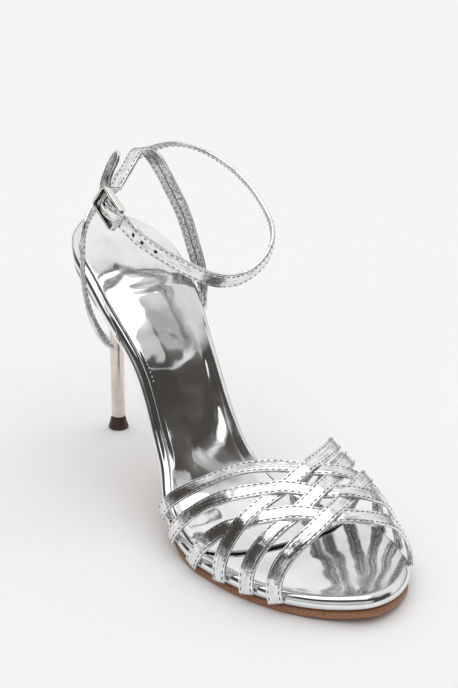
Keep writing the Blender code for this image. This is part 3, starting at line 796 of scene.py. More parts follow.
def drawn_metal(name, colour):
    """Polished metal drawn lengthwise: fine upright lines, faint blotches in its tint."""
    tree, shader = new_finish(name)
    place = object_place(tree)
    lines = noise(tree, stretch(tree, place, DRAWN), 2600.0)
    blotch = remap(tree, noise(tree, place, 160.0, 3.0), 0.4, 0.7)
    shade = blend_colour(tree, blotch, colour, darker(colour, BLOTCHED))
    gloss = remap(tree, lines, 0.3, 0.7, 0.14, 0.26)
    wear(tree, shader, shade, gloss, bump(tree, lines, LINE_DEPTH))


def make_finishes(looks):
    """Every material of the sandal, by its name."""
    make_groups()
    wrap_foil("board_foil", looks.silver, 70.0, 420.0, 0.0004, 0.05)
    wrap_foil("sock_foil", looks.silver, 78.0, 300.0, 0.00045, 0.06)
    # The bowl's foil is the silver darkened all over: painted shade under the heel seat
    wrap_foil("cup_foil_painted_shade", darker(looks.silver, CUP_PAINTED_SHADE), 60.0, 300.0, 0.0004, 0.04)
    strap_foil("strap_foil", looks.silver)
    strap_back("strap_back", looks.strap_back)
    # Near-black painted shade for the strip under the sock's edge and inside the long strap's holes
    # and slot
    grained("dark_painted_shade", looks.dark_painted_shade, (0.02, 0.018, 0.016), 1800.0, 0.0001, 0.55)
    # The stitches' dark grey is partly the thread's own colour and partly painted shade of the gaps
    # between stitches
    grained("thread", looks.thread, (0.1, 0.1, 0.11), 2600.0, 0.00006, 0.5)
    grained("pale_thread", PALE_THREAD, (0.6, 0.6, 0.6), 2600.0, 0.00006, 0.5)
    grained("outsole_leather", looks.outsole, (0.2, 0.09, 0.045), 900.0, 0.00012, 0.48)
    grained("tip_rubber", looks.tip, (0.03, 0.015, 0.01), 1400.0, 0.00008, 0.4)
    drawn_metal("pin_metal", looks.pin)
    drawn_metal("buckle_metal", looks.buckle)
    # The buckle's metal darkened for the inner faces of its frame: painted shade inside the hoop
    drawn_metal("buckle_painted_shade", darker(looks.buckle, HOOP_PAINTED_SHADE))
    grained("elastic_web", looks.elastic, (0.36, 0.3, 0.27), 1700.0, 0.0002, 0.75)


def finishes(*names):
    """Materials by name."""
    return [bpy.data.materials[name] for name in names]


def add_board():
    """The wrapped board: rings from the spine over the top, round the rim and back under it."""
    line, spine = rim(HEEL_BACK, TOE_TIP)
    depth = column(RIM_SECTION, 1)
    inset = column(RIM_SECTION, 0)
    knots = np.arange(len(RIM_SECTION))
    at = np.linspace(0.0, knots[-1], RIM_ROWS)
    shares = np.linspace(1.0, 0.0, TOP_ROWS)[:-1]
    toe = TOE_CROWN * (1 - soft_step(*TOE_FADE, line[:, 1]))
    crown = {share: toe * (1 - (1 - share) ** TOE_FLAT) for share in shares}
    rings = [ring(line, spine, inset[0], lift, share) for share, lift in crown.items()]
    sides = zip(through(knots, inset, at), through(knots, depth, at))
    rings += [ring(line, spine, step, -below) for step, below in sides]
    rings += [ring(line, spine, inset[-1], -depth[-1], share) for share in shares[::-1]]
    return add_rings("board", rings, "board_foil")


def fold_height(x, y, path):
    """Height of a fold: a bell curve of the distance from its line, as wide and high as there."""
    nearest = np.full(x.shape, np.inf)
    height = np.zeros(x.shape)
    for (x0, y0, w0, h0), (x1, y1, w1, h1) in zip(path[:-1], path[1:]):
        run = np.array([x1 - x0, y1 - y0])
        t = np.clip(((x - x0) * run[0] + (y - y0) * run[1]) / (run @ run), 0.0, 1.0)
        away = np.hypot(x - x0 - t * run[0], y - y0 - t * run[1])
        bell = (h0 + t * (h1 - h0)) * np.exp(-((away / (w0 + t * (w1 - w0))) ** 2))
        height = np.where(away < nearest, bell, height)
        nearest = np.minimum(nearest, away)
    return height


def sock_swell(y):
    """Swell of the sock at a station, and what its edge follows of it: a little of its fall."""
    swell = through(column(SOCK_SWELL, 0), column(SOCK_SWELL, 1), y)
    return swell, np.clip(swell, -EDGE_FALL, 0.0)


def sock_lift(plan, share):
    """Height of the sock's top: crown, a pad sloping up from the edge to a crease, swell, folds."""
    x, y = plan[:, 0], plan[:, 1]
    slope = share / PAD_EDGE
    level = slope - PAD_CREASE * np.log1p(np.exp((slope - 1) / PAD_CREASE))
    lift = SOCK_CROWN * (1 - (1 - share) ** 2) + PAD_RISE * level * soft_step(*PAD_FADE, y)
    swell, edge_swell = sock_swell(y)
    lift = lift + edge_swell + (swell - edge_swell) * soft_step(0.0, EDGE_SHARE, share)
    for path in SOCK_FOLDS:
        lift = lift + fold_height(x, y, path)
    return lift


def add_sock():
    """The sheet on the board: rings from the spine to the rounded edge, down it and back below."""
    line, spine = blunt_rim(SOCK_FRONT, SOCK_CORNER)
    top = GAP + SOCK_THICK
    edge_top = top + sock_swell(line[:, 1])[1]
    rings = []
    for share in np.linspace(1.0, 0.0, SOCK_ROWS):
        plan = plan_ring(line, spine, SOCK_INSET + SOCK_ROUND, share)
        rings.append(bed(plan[:, 0], plan[:, 1], top + sock_lift(plan, share)))
    for angle in QUARTER_TURN[1:]:
        step = SOCK_INSET + SOCK_ROUND * (1 - math.sin(angle))
        rings.append(ring(line, spine, step, edge_top - SOCK_ROUND * (1 - math.cos(angle))))
    foil_rows = len(rings)
    # The strip under the rounded edge and the underside take the near-black finish: painted shade
    # of the gap between the sock and the board
    rings += [ring(line, spine, SOCK_INSET, GAP + rise) for rise in (SOCK_RAW, 0.0)]
    rings += [ring(line, spine, SOCK_INSET, GAP, share) for share in (0.3, 0.7, 1.0)]
    row = np.repeat(np.arange(len(rings) - 1), len(line))
    return add_rings("sock", rings, "sock_foil", "dark_painted_shade", finish_of=row >= foil_rows)


def add_sock_stitches():
    """A short row of pale stitches inside the sock's outer edge, carried along its plan line."""
    line, spine = blunt_rim(SOCK_FRONT, SOCK_CORNER)
    plan = plan_ring(line, spine, SOCK_INSET + SOCK_ROUND, SEWN_SHARE)
    outer = plan[plan[:, 0] < spine[:, 0]]
    outer = outer[np.argsort(outer[:, 1])]
    y = np.arange(*SEWN_RUN, SEWN_PITCH)
    plan = np.column_stack([np.interp(y, outer[:, 1], outer[:, 0]), y])
    places = bed(plan[:, 0], y, GAP + SOCK_THICK + sock_lift(plan, SEWN_SHARE))
    along = unit(np.gradient(places, axis=0))
    across = unit(np.cross(UP, along))
    points, faces = stitch_arrays(places, along, across, np.cross(along, across), SEWN_LENGTH)
    return add_mesh("sock_stitches", points, faces, finishes("pale_thread"))


def add_outsole():
    """The thin sheet under the board, narrow through the waist, from the heel breast to the toe."""
    line, spine = rim(OUTSOLE_REAR, TOE_TIP, rear_corner=OUTSOLE_CORNER, rear_fan=OUTSOLE_CORNER)
    inset = through(column(OUTSOLE, 0), column(OUTSOLE, 1), line[:, 1])
    top = -(BOARD_THICK + GAP)
    bottom = top - through(column(OUTSOLE, 0), column(OUTSOLE, 2), line[:, 1])
    shares = (1.0, 0.6, 0.2, 0.0)
    rings = [ring(line, spine, inset, top, share) for share in shares]
    for angle in QUARTER_TURN:
        step = inset + OUTSOLE_BEVEL * (1 - math.cos(angle))
        rings.append(ring(line, spine, step, bottom + OUTSOLE_BEVEL * (1 - math.sin(angle))))
    rings += [ring(line, spine, inset + OUTSOLE_BEVEL, bottom, share) for share in shares[-2::-1]]
    return add_rings("outsole_sheet", rings, "outsole_leather")


def pin_centre(z):
    """Middle of the pin at a height: it leans back a little on its way up."""
    z = np.asarray(z, float)
    return np.stack([np.zeros_like(z), PIN_LEAN * z / CUP_SEAT, z], axis=-1)


def add_heel_cup():
    """The bowl under the heel seat: its rings draw in from the rim to the pin as it deepens."""
    line, spine = blunt_rim(CUP_FRONT, CUP_CORNER)
    top = -(BOARD_THICK + GAP)
    lip = ring(line, spine, CUP_INSET, top - CUP_LIP)
    seat = pin_centre(CUP_SEAT)
    rings = [ring(line, spine, CUP_INSET, top, share) for share in (1.0, 0.5, 0.0)]
    for spread_share in np.cos(np.linspace(0.0, CUP_TURN, CUP_ROWS)):
        depth = (1 - spread_share**CUP_SWELL) ** (1 / CUP_SWELL)
        plan = seat[:2] + (lip[:, :2] - seat[:2]) * spread_share
        height = lip[:, 2] + (seat[2] - lip[:, 2]) * depth
        rings.append(np.column_stack([plan, height]))
    angle = np.arctan2(lip[:, 1] - seat[1], lip[:, 0] - seat[0])
    circle = grid_of(np.cos(angle), np.sin(angle), 0.0)
    rings += [seat + radius * circle for radius in (CUP_FOOT, CUP_FOOT / 2, 0.0)]
    # Its finish is the silver darkened all over: painted shade under the heel seat
    return add_rings("heel_bowl", rings, "cup_foil_painted_shade")


def add_turned(name, turning, finish):
    """A round piece on the pin's line: height and radius for each ring."""
    turn = full_turn(ROUND_STEPS)
    circle = grid_of(np.cos(turn), np.sin(turn), 0.0)
    return add_rings(name, [pin_centre(z) + radius * circle for z, radius in turning], finish)


def round_corners(core, radius, turn):
    """Arcs round the four corners of a rectangle, a quarter turn on from one to the next."""
    arc = radius * np.column_stack([np.cos(turn), np.sin(turn)])
    corners = []
    for quarter, signs in enumerate(((1, 1), (-1, 1), (-1, -1), (1, -1))):
        c, s = (1, 0, -1, 0)[quarter], (0, 1, 0, -1)[quarter]
        corners.append(arc @ np.array([[c, s], [-s, c]]) + np.multiply(core, signs))
    return corners


def strap_section(width, thick):
    """Section of a strap as places across and out: crowned face, round edges, a seam down its back.

    Also 1 for each place on the flat of the back, and 0 elsewhere.
    """
    w, t = width / 2, thick / 2
    r = EDGE_ROUND * t
    flat = np.linspace(-1.0, 1.0, FACE_PLACES)[1:-1] * (w - r)
    sewn = SEAM_DEPTH * np.exp(-(((np.abs(flat) - w + SEAM_INSET) / SEAM_HALF) ** 2))
    face = np.column_stack([-flat, t + FACE_CROWN * (1 - (flat / w) ** 2) - sewn])
    back = np.column_stack([flat, -t + GROOVE_DEPTH * np.exp(-((flat / GROOVE_HALF) ** 2))])
    corners = round_corners((w - r, t - r), r, QUARTER_TURN)
    parts = [corners[0], face, corners[1], corners[2], back, corners[3]]
    on_back = np.concatenate([np.full(len(part), part is back) for part in parts])
    return np.concatenate(parts), on_back


def strap_frames(points, outward):
    """For each point of a strap's line: along it, across it and out of its face."""
    along = unit(np.gradient(points, axis=0))
    across = unit(np.cross(along, outward))
    return along, across, np.cross(across, along)


def run_lengths(points):
    """Distance along a line at each of its points."""
    return np.concatenate([[0.0], np.cumsum(np.linalg.norm(np.diff(points, axis=0), axis=1))])


def swept(points, across, face, side, level):
    """A section carried along a line, row by row: its places across and out, as points."""
    grid = points[:, None] + side[..., None] * across[:, None] + level[..., None] * face[:, None]
    return grid.reshape(-1, 3)


def strap_arrays(points, outward, width, thick, narrow=None):
    """A strap as arrays: its section carried along a line, closed at both ends.

    narrow gives the share of the width at each point of the line.
    """
    _, across, face = strap_frames(points, outward)
    section, on_back = strap_section(width, thick)
    narrow = np.ones(len(points)) if narrow is None else narrow
    ends = np.concatenate([[0, 0], np.arange(len(points)), [len(points) - 1] * 2])
    shrink = np.concatenate([[0.0, END_SHRINK], np.ones(len(points)), [END_SHRINK, 0.0]])
    side = section[:, 0] * (narrow[ends] * shrink)[:, None]
    level = section[:, 1] * shrink[:, None]
    grid = swept(points[ends], across[ends], face[ends], side, level)
    place = grid_of(run_lengths(points)[ends][:, None], side, on_back.astype(float))
    inside = on_back & np.roll(on_back, -1)
    faces = lattice(len(ends), len(section))
    return grid, faces, place.reshape(-1, 3), np.tile(inside, len(ends) - 1)


def join_arrays(parts):
    """Several sets of points, faces and what else goes with them as one."""
    starts = np.cumsum([0] + [len(part[0]) for part in parts[:-1]])
    moved = [(part[0], part[1] + start, *part[2:]) for part, start in zip(parts, starts)]
    return [np.concatenate(values) for values in zip(*moved)]


def carried(body, places, axes):
    """One body, given ring by ring, carried to every place by its axes: points and faces."""
    points = places[:, None] + np.einsum("bk,nkj->nbj", body.reshape(-1, 3), axes)
    faces = lattice(*body.shape[:2])
    offsets = np.arange(len(places)) * points.shape[1]
    return points.reshape(-1, 3), (faces[None] + offsets[:, None, None]).reshape(-1, 4)


def stitch_arrays(places, along, across, face, length):
    """Stitches as lens-shaped bodies: one rounded bead, carried to every place by its axes."""
    share = np.linspace(-1.0, 1.0, BEAD_ROWS)[:, None]
    girth = np.sqrt(np.maximum(1 - share**4, 0.0))
    turn = full_turn(BEAD_SIDES)
    wide, high = STITCH_HALF
    bead = grid_of(share * length / 2, girth * wide * np.cos(turn), girth * high * np.sin(turn))
    return carried(bead, places, np.stack([along, across, face], axis=1))


def strap_stitches(points, outward, inset, lift, width, pitch, length, stop=STITCH_CLEAR):
    """Two rows of stitches on a strap's face, a little in from its edges."""
    axes = strap_frames(points, outward)
    run = run_lengths(points)
    at = np.arange(STITCH_CLEAR, run[-1] - stop, pitch)

    def pick(values):
        """Values of the line at the stitches."""
        return np.column_stack([np.interp(at, run, values[:, k]) for k in range(3)])

    along, across, face = (pick(axis) for axis in axes)
    rows = []
    for side in (-1, 1):
        place = pick(points) + side * (width / 2 - inset) * across + lift * face
        rows.append(stitch_arrays(place, unit(along), unit(across), unit(face), length))
    return rows


def add_stitches(name, rows):
    """Rows of stitches as one piece."""
    # Their dark grey is partly the thread's own and partly painted shade of the gaps between
    # stitches
    return add_mesh(name, *join_arrays(rows), finishes("thread"))


def sewing(sizes, width, thick):
    """How stitches lie on a strap: inset, lift off its middle, its width, pitch and length."""
    inset, pitch, length = sizes.stitch_inset, sizes.stitch_pitch, sizes.stitch_length
    return inset / MM, thick / 2 + STITCH_RISE, width, pitch / MM, length / MM


def wall_station(y):
    """Station of the board whose side stands at y: the side leans where the board slopes."""
    slope = np.interp(y, STATIONS, SLOPES)
    return y - WALL_DEPTH * slope / np.hypot(1.0, slope)


def arch(y, turn):
    """Point of the vamp over station y: turn 0 is the outer edge, half a turn on the inner edge.

    An oval from side to side whose top leans over, more so the higher it is.
    """
    outer = edge(wall_station(y), -1) - ARCH_CLEAR
    inner = edge(wall_station(y), 1) + ARCH_CLEAR
    base = bed(0.0, y, -ARCH_FOOT)[..., 2]
    height = through(column(ARCH, 0), column(ARCH, 1), y) - base
    lean = through(column(ARCH, 0), column(ARCH, 2), y)
    share = np.maximum(np.sin(turn), 0.0) ** ARCH_FULL
    x = (outer + inner) / 2 - (inner - outer) / 2 * np.cos(turn) + lean * height * share**2
    return np.stack([x, y, base + height * share], axis=-1)


def ribbon_run(outer_end, inner_end, bow, sway):
    """Turns of a ribbon over the arch and its stations: a slant from end to end, bowed, swayed."""
    turn = np.linspace(0.0, math.pi, RIBBON_STEPS + 1)
    slant = outer_end + (inner_end - outer_end) * turn / math.pi
    return turn, slant + bow * np.sin(turn) ** 2 + sway * np.sin(2 * turn)


def ribbon_line(run, others, first_side):
    """Line and outward normal of a ribbon, raised and lowered by turns where the others cross."""
    turn, y = run
    points = arch(y, turn)
    ahead = arch(y, np.minimum(turn + SMALL_STEP, math.pi))
    behind = arch(y, np.maximum(turn - SMALL_STEP, 0.0))
    toeward = arch(y - SMALL_STEP, turn) - arch(y + SMALL_STEP, turn)
    normal = unit(np.cross(toeward, ahead - behind))
    along = run_lengths(points)
    crossings = []
    for _, other_y in others:
        apart = y - other_y
        k = int(np.argmax(apart[:-1] * apart[1:] <= 0))
        gap = along[k + 1] - along[k]
        crossings.append(along[k] + gap * apart[k] / (apart[k] - apart[k + 1]))
    lift = np.zeros_like(turn)
    side = first_side
    for crossing in sorted(crossings):
        lift += side * WEAVE_RISE * np.exp(-(((along - crossing) / WEAVE_REACH) ** 2))
        side = -side
    return points + normal * lift[:, None], normal


def add_vamp(sizes):
    """Six ribbons in plain weave, three each way, and the stitches along their edges."""
    width = sizes.ribbon_width / MM
    back = [ribbon_run(*row[:4]) for row in BACK_RIBBONS]
    fore = [ribbon_run(*row[:4]) for row in FORE_RIBBONS]
    lines = [ribbon_line(run, fore, row[4]) for run, row in zip(back, BACK_RIBBONS)]
    lines += [ribbon_line(run, back, row[4]) for run, row in zip(fore, FORE_RIBBONS)]
    parts = []
    rows = []
    for k, line in enumerate(lines):
        grid, faces, place, inside = strap_arrays(*line, width, RIBBON_THICK)
        parts.append((grid, faces, place + (RIBBON_SHIFT * k, 0.0, 0.0), inside))
        rows += strap_stitches(*line, *sewing(sizes, width, RIBBON_THICK))
    straps = add_strap("vamp_weave", join_arrays(parts), "strap_foil", "strap_back")
    return straps, add_stitches("vamp_stitches", rows)


def buckle_axes():
    """Columns of the buckle's own axes: along the strap to the front, across it, and outwards."""
    along = unit(BUCKLE_ALONG)
    out = unit(np.cross(BUCKLE_ACROSS, along))
    return np.column_stack([along, np.cross(along, out), out])


def from_buckle(places):
    """Points from places along, across and out of the buckle."""
    return np.asarray(BUCKLE_MIDDLE) + np.asarray(places, float) @ buckle_axes().T


def at_buckle(along, out):
    """A row of a strap's route at the buckle: a point in its middle, its face turned as there."""
    axes = buckle_axes()
    point = from_buckle((along, 0.0, out))
    away = math.atan2(point[1] - ANKLE_AXIS[1], point[0] - ANKLE_AXIS[0])
    turn = math.remainder(math.atan2(axes[1, 2], axes[0, 2]) - away, 2 * math.pi)
    return (*point, math.degrees(math.asin(axes[2, 2])), math.degrees(turn))


# Middle line of the long strap, lean of its face from upright and turn of its face about upright,
# in degrees: outer side of the sole, behind the ankle, inner side, front, under the buckle's front,
# over its bar, under its back, free end
LONG_ROUTE = (
    (-27.4, -46.0, 62.2, 0.0, 0.0), (-32.4, -47.2, 67.3, 0.0, -24.0),
    (-37.0, -46.5, 77.0, 0.0, -34.0), (-38.2, -43.0, 88.0, 0.0, -28.0),
    (-37.2, -39.5, 100.0, 0.0, -22.0), (-33.7, -35.0, 111.4, 2.0, -13.0),
    (-26.4, -29.0, 117.9, 6.0, -4.0), (-16.1, -21.0, 121.5, 14.0, 0.0),
    (-3.2, -12.0, 127.0, 26.0, 0.0), (7.9, -7.0, 131.7, 48.0, 0.0), (19.0, -11.5, 135.8, 68.0, 0.0),
    (30.0, -27.0, 134.0, 61.0, 0.0), (35.0, -48.0, 127.0, 41.0, 0.0),
    (35.0, -66.0, 118.0, 17.0, 0.0), (31.0, -78.5, 109.5, -12.0, 0.0),
    (23.0, -84.5, 102.5, -22.0, 0.0), (12.0, -86.5, 98.0, -26.0, 0.0),
    (1.0, -87.0, 98.5, -26.0, 0.0), (-10.0, -83.0, 103.0, -26.0, 0.0),
    (-19.0, -75.0, 109.0, -22.0, 0.0), (-26.0, -67.0, 114.8, -12.0, 0.0),
    at_buckle(BUCKLE_REACH, -STRAP_CLEAR), at_buckle(BAR_PLACE, STRAP_RISE),
    at_buckle(-BUCKLE_REACH, -STRAP_CLEAR), (-28.6, -44.0, 132.0, -8.0, 14.0),
    (-24.5, -41.5, 138.3, -4.0, 20.0), (-20.6, -39.5, 143.6, -2.0, 20.0),
)
# Middle line, lean and turn of the short strap: inner side of the sole, behind the ankle inside the
# long strap, over its own fold, outer side
SHORT_ROUTE = (
    (23.2, -36.4, 66.6, 0.0, -32.0), (23.6, -35.6, 71.5, 0.0, -32.0),
    (23.9, -34.4, 77.5, 0.0, -20.0), (23.3, -32.6, 84.5, 0.0, -6.0), (21.9, -28.6, 95.0, 0.0, 0.0),
    (20.2, -23.8, 106.5, 5.0, 0.0), (16.2, -18.1, 119.0, 18.0, 0.0),
    (12.4, -15.0, 128.0, 42.0, 0.0), (6.0, -17.0, 135.2, 68.0, 15.0),
    (-1.8, -22.6, 138.0, 80.0, 40.0), (-9.2, -28.6, 134.6, 63.0, 62.0),
    (-14.9, -32.2, 130.2, 58.0, 48.0), (-20.3, -36.0, 126.6, 57.0, 36.0),
)
# Middle line, lean and turn of the ribbed tab, from the short strap's end to below the bar
TAB_ROUTE = (
    (-21.2, -37.0, 126.1, 57.0, 36.0),
    (-25.4, -42.8, 126.2, 40.0, 20.0),
    at_buckle(BAR_PLACE - TAB_BEFORE, -BUCKLE_DROP - TAB_DIP),
    at_buckle(BAR_PLACE + TAB_BEYOND, -BUCKLE_DROP - GAP - TAB_THICK / 2),
)


def strap_line(route, step):
    """Line of a strap and its outward direction: away from the ankle, turned and leaned back."""
    rows = curve_through(route, step)
    points = rows[:, :3]
    lean = np.radians(rows[:, 3])
    away = points[:, :2] - np.array(ANKLE_AXIS)
    heading = np.arctan2(away[:, 1], away[:, 0]) + np.radians(rows[:, 4])
    level = np.cos(lean)
    return points, np.column_stack([level * np.cos(heading), level * np.sin(heading), np.sin(lean)])


def cut(piece, name, points, faces):
    """Take a closed body out of a piece for good, and line the hole with its last finish."""
    lining = np.full(len(faces), len(piece.data.materials) - 1)
    tool = add_mesh(name, points, faces, piece.data.materials[:], lining)
    step = piece.modifiers.new(name, "BOOLEAN")
    step.operation = "DIFFERENCE"
    step.object = tool
    step.solver = "EXACT"
    bpy.context.view_layer.update()
    result = piece.evaluated_get(bpy.context.evaluated_depsgraph_get())
    made = bpy.data.meshes.new_from_object(result)
    piece.modifiers.clear()
    old = piece.data
    made.name = old.name
    piece.data = made
    bpy.data.meshes.remove(old)
    shape = tool.data
    bpy.data.objects.remove(tool)
    bpy.data.meshes.remove(shape)


def round_bar(turn):
    """A bar of radius and half length one, closed at its ends: cosines, sines, places along it."""
    girth = np.array([[0.0], [1.0], [1.0], [0.0]])
    along = np.array([[-1.0], [-1.0], [1.0], [1.0]])
    return girth * np.cos(turn), girth * np.sin(turn), along


def peg_arrays(places, axes, half):
    """Round or oval pegs at places with axes: half sizes along, across and out, closed ends."""
    c, s, depth = round_bar(full_turn(PEG_SIDES))
    return carried(grid_of(half[0] * c, half[1] * s, half[2] * depth), places, axes)


def add_ankle_straps(sizes):
    """The long strap with its slot, holes and pointed end, the short strap, their stitches."""
    width = sizes.strap_width / MM
    points, outward = long_line = strap_line(LONG_ROUTE, STRAP_STEP)
    run = run_lengths(points)
    left = np.clip((run[-1] - run) / POINT_LENGTH, 0.0, 1.0)
    narrow = POINT_BLUNT + (1 - POINT_BLUNT) * np.sqrt(1 - (1 - left) ** POINT_FULL)
    arrays = strap_arrays(*long_line, width, STRAP_THICK, narrow)
    long_strap = add_strap("ankle_strap", arrays, "strap_foil", "strap_back", "dark_painted_shade")

    along, across, face = strap_frames(*long_line)
    front = from_buckle((BUCKLE_LENGTH / 2, 0.0, -STRAP_CLEAR))
    start = run[np.argmin(np.linalg.norm(points - front, axis=1))]
    picks = [int(np.argmin(np.abs(run - (start - distance)))) for distance in HOLE_PLACES]
    half = sizes.hole_diameter / MM / 2
    axes = np.stack([along[picks], across[picks], face[picks]], axis=1)
    shallow = points[picks] + STRAP_THICK * face[picks]
    # The holes and the prong's slot are lined with the near-black finish: painted shade inside them
    cut(long_strap, "punched_holes", *peg_arrays(shallow, axes, (half, half, HOLE_DEPTH)))
    slot_place = from_buckle([(SLOT_PLACE, 0.0, 0.0)])
    cut(long_strap, "prong_slot", *peg_arrays(slot_place, buckle_axes().T[None], SLOT_HALF))

    short_line = strap_line(SHORT_ROUTE, STRAP_STEP)
    grid, faces, place, inside = strap_arrays(*short_line, width, STRAP_THICK)
    arrays = (grid, faces, place + (SHORT_SHIFT, 0.0, 0.0), inside)
    short_strap = add_strap("ankle_strap_inner", arrays, "strap_foil", "strap_back")
    inset, lift, *rest = sewing(sizes, width, STRAP_THICK)
    rows = []
    for side in (lift, -lift):
        rows += strap_stitches(*long_line, inset, side, *rest, stop=POINT_LENGTH)
        rows += strap_stitches(*short_line, inset, side, *rest)
    return long_strap, short_strap, add_stitches("ankle_stitches", rows)


def buckle_loop(steps):
    """Middle line of the frame's wire, a rectangle with round corners, and its normals."""
    half = np.array([BUCKLE_LENGTH - BUCKLE_WIRE, BUCKLE_WIDTH - BUCKLE_WIRE]) / 2
    turn = np.linspace(0.0, math.pi / 2, CORNER_STEPS)
    corners = round_corners(half - BUCKLE_CORNER, BUCKLE_CORNER, turn)
    loop = np.concatenate(corners + [corners[0][:1]])
    run = run_lengths(loop)
    at = np.linspace(0.0, run[-1], steps, endpoint=False)
    line = np.column_stack([np.interp(at, run, loop[:, k]) for k in range(2)])
    ahead = np.roll(line, -1, axis=0) - np.roll(line, 1, axis=0)
    return line, unit(np.column_stack([ahead[:, 1], -ahead[:, 0]]))


def add_buckle_frame():
    """A deep rectangular frame, shallower at its two ends, with a low round bar across it."""
    line, normal = buckle_loop(HOOP_STEPS)
    turn = full_turn(WIRE_SIDES)
    c, s = np.cos(turn), np.sin(turn)
    side = np.sign(c) * np.abs(c) ** WIRE_POWER * BUCKLE_WIRE / 2
    level = np.sign(s) * np.abs(s) ** WIRE_POWER
    end = soft_step(*END_RISE, np.abs(line[:, 0]))[:, None]
    low = -BUCKLE_DROP + (BUCKLE_DROP - BUCKLE_HALF_DEPTH) * end
    plane = line[:, None] + normal[:, None] * side[:, None]
    out = (BUCKLE_HALF_DEPTH + low) / 2 + (BUCKLE_HALF_DEPTH - low) / 2 * level
    hoop = np.concatenate([plane, out[..., None]], axis=-1).reshape(-1, 3)
    c_bar, s_bar, across = round_bar(turn)
    reach = (BUCKLE_WIDTH - BUCKLE_WIRE) / 2
    bar = grid_of(BAR_PLACE + BAR_RADIUS * c_bar, reach * across, BAR_MIDDLE + BAR_RADIUS * s_bar)
    hoop_faces = lattice(len(line), len(turn), closed_rows=True)
    bar_faces = lattice(*bar.shape[:2])
    points, faces = join_arrays([(hoop, hoop_faces), (bar.reshape(-1, 3), bar_faces)])
    # Inner faces of the frame take the darkened metal: painted shade
    inside = np.tile(c + np.roll(c, -1) < HOOP_INSIDE, len(line))
    painted_shade_faces = np.concatenate([inside, np.zeros(len(bar_faces), dtype=bool)])
    metal = finishes("buckle_metal", "buckle_painted_shade")
    return add_mesh("buckle_hoop", from_buckle(points), faces, metal, painted_shade_faces)


def add_buckle_prong():
    """A round prong from beside the bar, up through the slot and onto the front, thinning out."""
    points = curve_through([at_buckle(*row) for row in PRONG_ROUTE], PRONG_STEP)[:, :3]
    along = unit(np.gradient(points, axis=0))
    across = buckle_axes()[:, 1]
    up = np.cross(along, across)
    share = np.linspace(0.0, 1.0, len(points))
    radius = PRONG_THICK / 2 * (1 - PRONG_THIN * soft_step(*PRONG_TAPER, share))
    tips = np.sqrt(np.clip(np.minimum(share, 1 - share) / PRONG_TIP, 0.0, 1.0))
    turn = full_turn(PRONG_SIDES)
    girth = np.cos(turn)[:, None] * across + np.sin(turn)[:, None] * up[:, None]
    grid = points[:, None] + (radius * tips)[:, None, None] * girth
    return add_rings("buckle_tongue", grid, "buckle_metal")


def add_elastic():
    """The ribbed tab: a flat section whose two faces rise and fall in ribs across it."""
    points, outward = strap_line(TAB_ROUTE, TAB_STEP)
    _, across, face = strap_frames(points, outward)
    side = np.linspace(-1.0, 1.0, TAB_PLACES)
    rib = np.abs(np.cos(side * math.pi * TAB_RIBS / 2)) * RIB_RISE
    depth = (TAB_THICK / 2 - RIB_RISE + rib) * np.sqrt(1 - side**TAB_SQUARE)
    upper = np.column_stack([side * TAB_WIDTH / 2, depth])
    section = np.concatenate([upper, (upper * (1, -1))[-2:0:-1]])
    ends = np.concatenate([[0], np.arange(len(points)), [len(points) - 1]])
    shrink = np.ones((len(ends), 1))
    shrink[[0, -1]] = 0.0
    places = section[:, 0] * shrink, section[:, 1] * shrink
    grid = swept(points[ends], across[ends], face[ends], *places)
    return add_mesh("elastic_tab", grid, lattice(len(ends), len(section)), finishes("elastic_web"))


def part_along(tree, direction, way):
    """How far a direction goes along a way."""
    product = add_node(tree, "ShaderNodeVectorMath", {"operation": "DOT_PRODUCT"})
    feed(tree, product.inputs[0], direction)
    feed(tree, product.inputs[1], way)
    return product.outputs["Value"]


def tones(tree, value, stops):
    """Greys along a value from 0 to 1, from a table in degrees; the dark ones are warm."""
    made = add_node(tree, "ShaderNodeValToRGB", Fac=value)
    marks = made.color_ramp.elements
    marks[0].position = stops[0][0] / HALF_TURN
    marks[1].position = stops[-1][0] / HALF_TURN
    for place, _ in stops[1:-1]:
        marks.new(place / HALF_TURN)
    for mark, (_, tone) in zip(marks, stops):
        warm = WARMTH * max(0.0, 1 - tone / WARM_BELOW)
        mark.color = (tone * (1 + warm), tone, tone * (1 - warm), 1.0)
    return made.outputs["Color"]


def view_axes():
    """Level directions to the right of the view and ahead of it, and up."""
    ahead = unit(VIEW_AHEAD)
    return np.cross(ahead, UP), ahead, UP


def turned(axes, place):
    """Matrix that stands a thing at a place with these axes as its columns."""
    matrix = Matrix(np.column_stack(axes).tolist()).to_4x4()
    matrix.translation = place
    return matrix


def add_floor(looks):
    """A wide square of pale paper."""
    tree, shader = new_finish("floor_paper")
    grain = noise(tree, object_place(tree), 300.0)
    paper = blend_colour(tree, grain, looks.floor, darker(looks.floor, PAPER_FLECK))
    feed(tree, shader["Base Color"], paper)
    feed(tree, shader["Roughness"], PAPER_ROUGH)
    feed(tree, shader["Specular IOR Level"], PAPER_SHEEN)
    corners = FLOOR_REACH * np.array([(-1, -1, 0), (1, -1, 0), (1, 1, 0), (-1, 1, 0)])
    floor = add_mesh("floor", corners, np.array([[0, 1, 2, 3]]), finishes("floor_paper"))


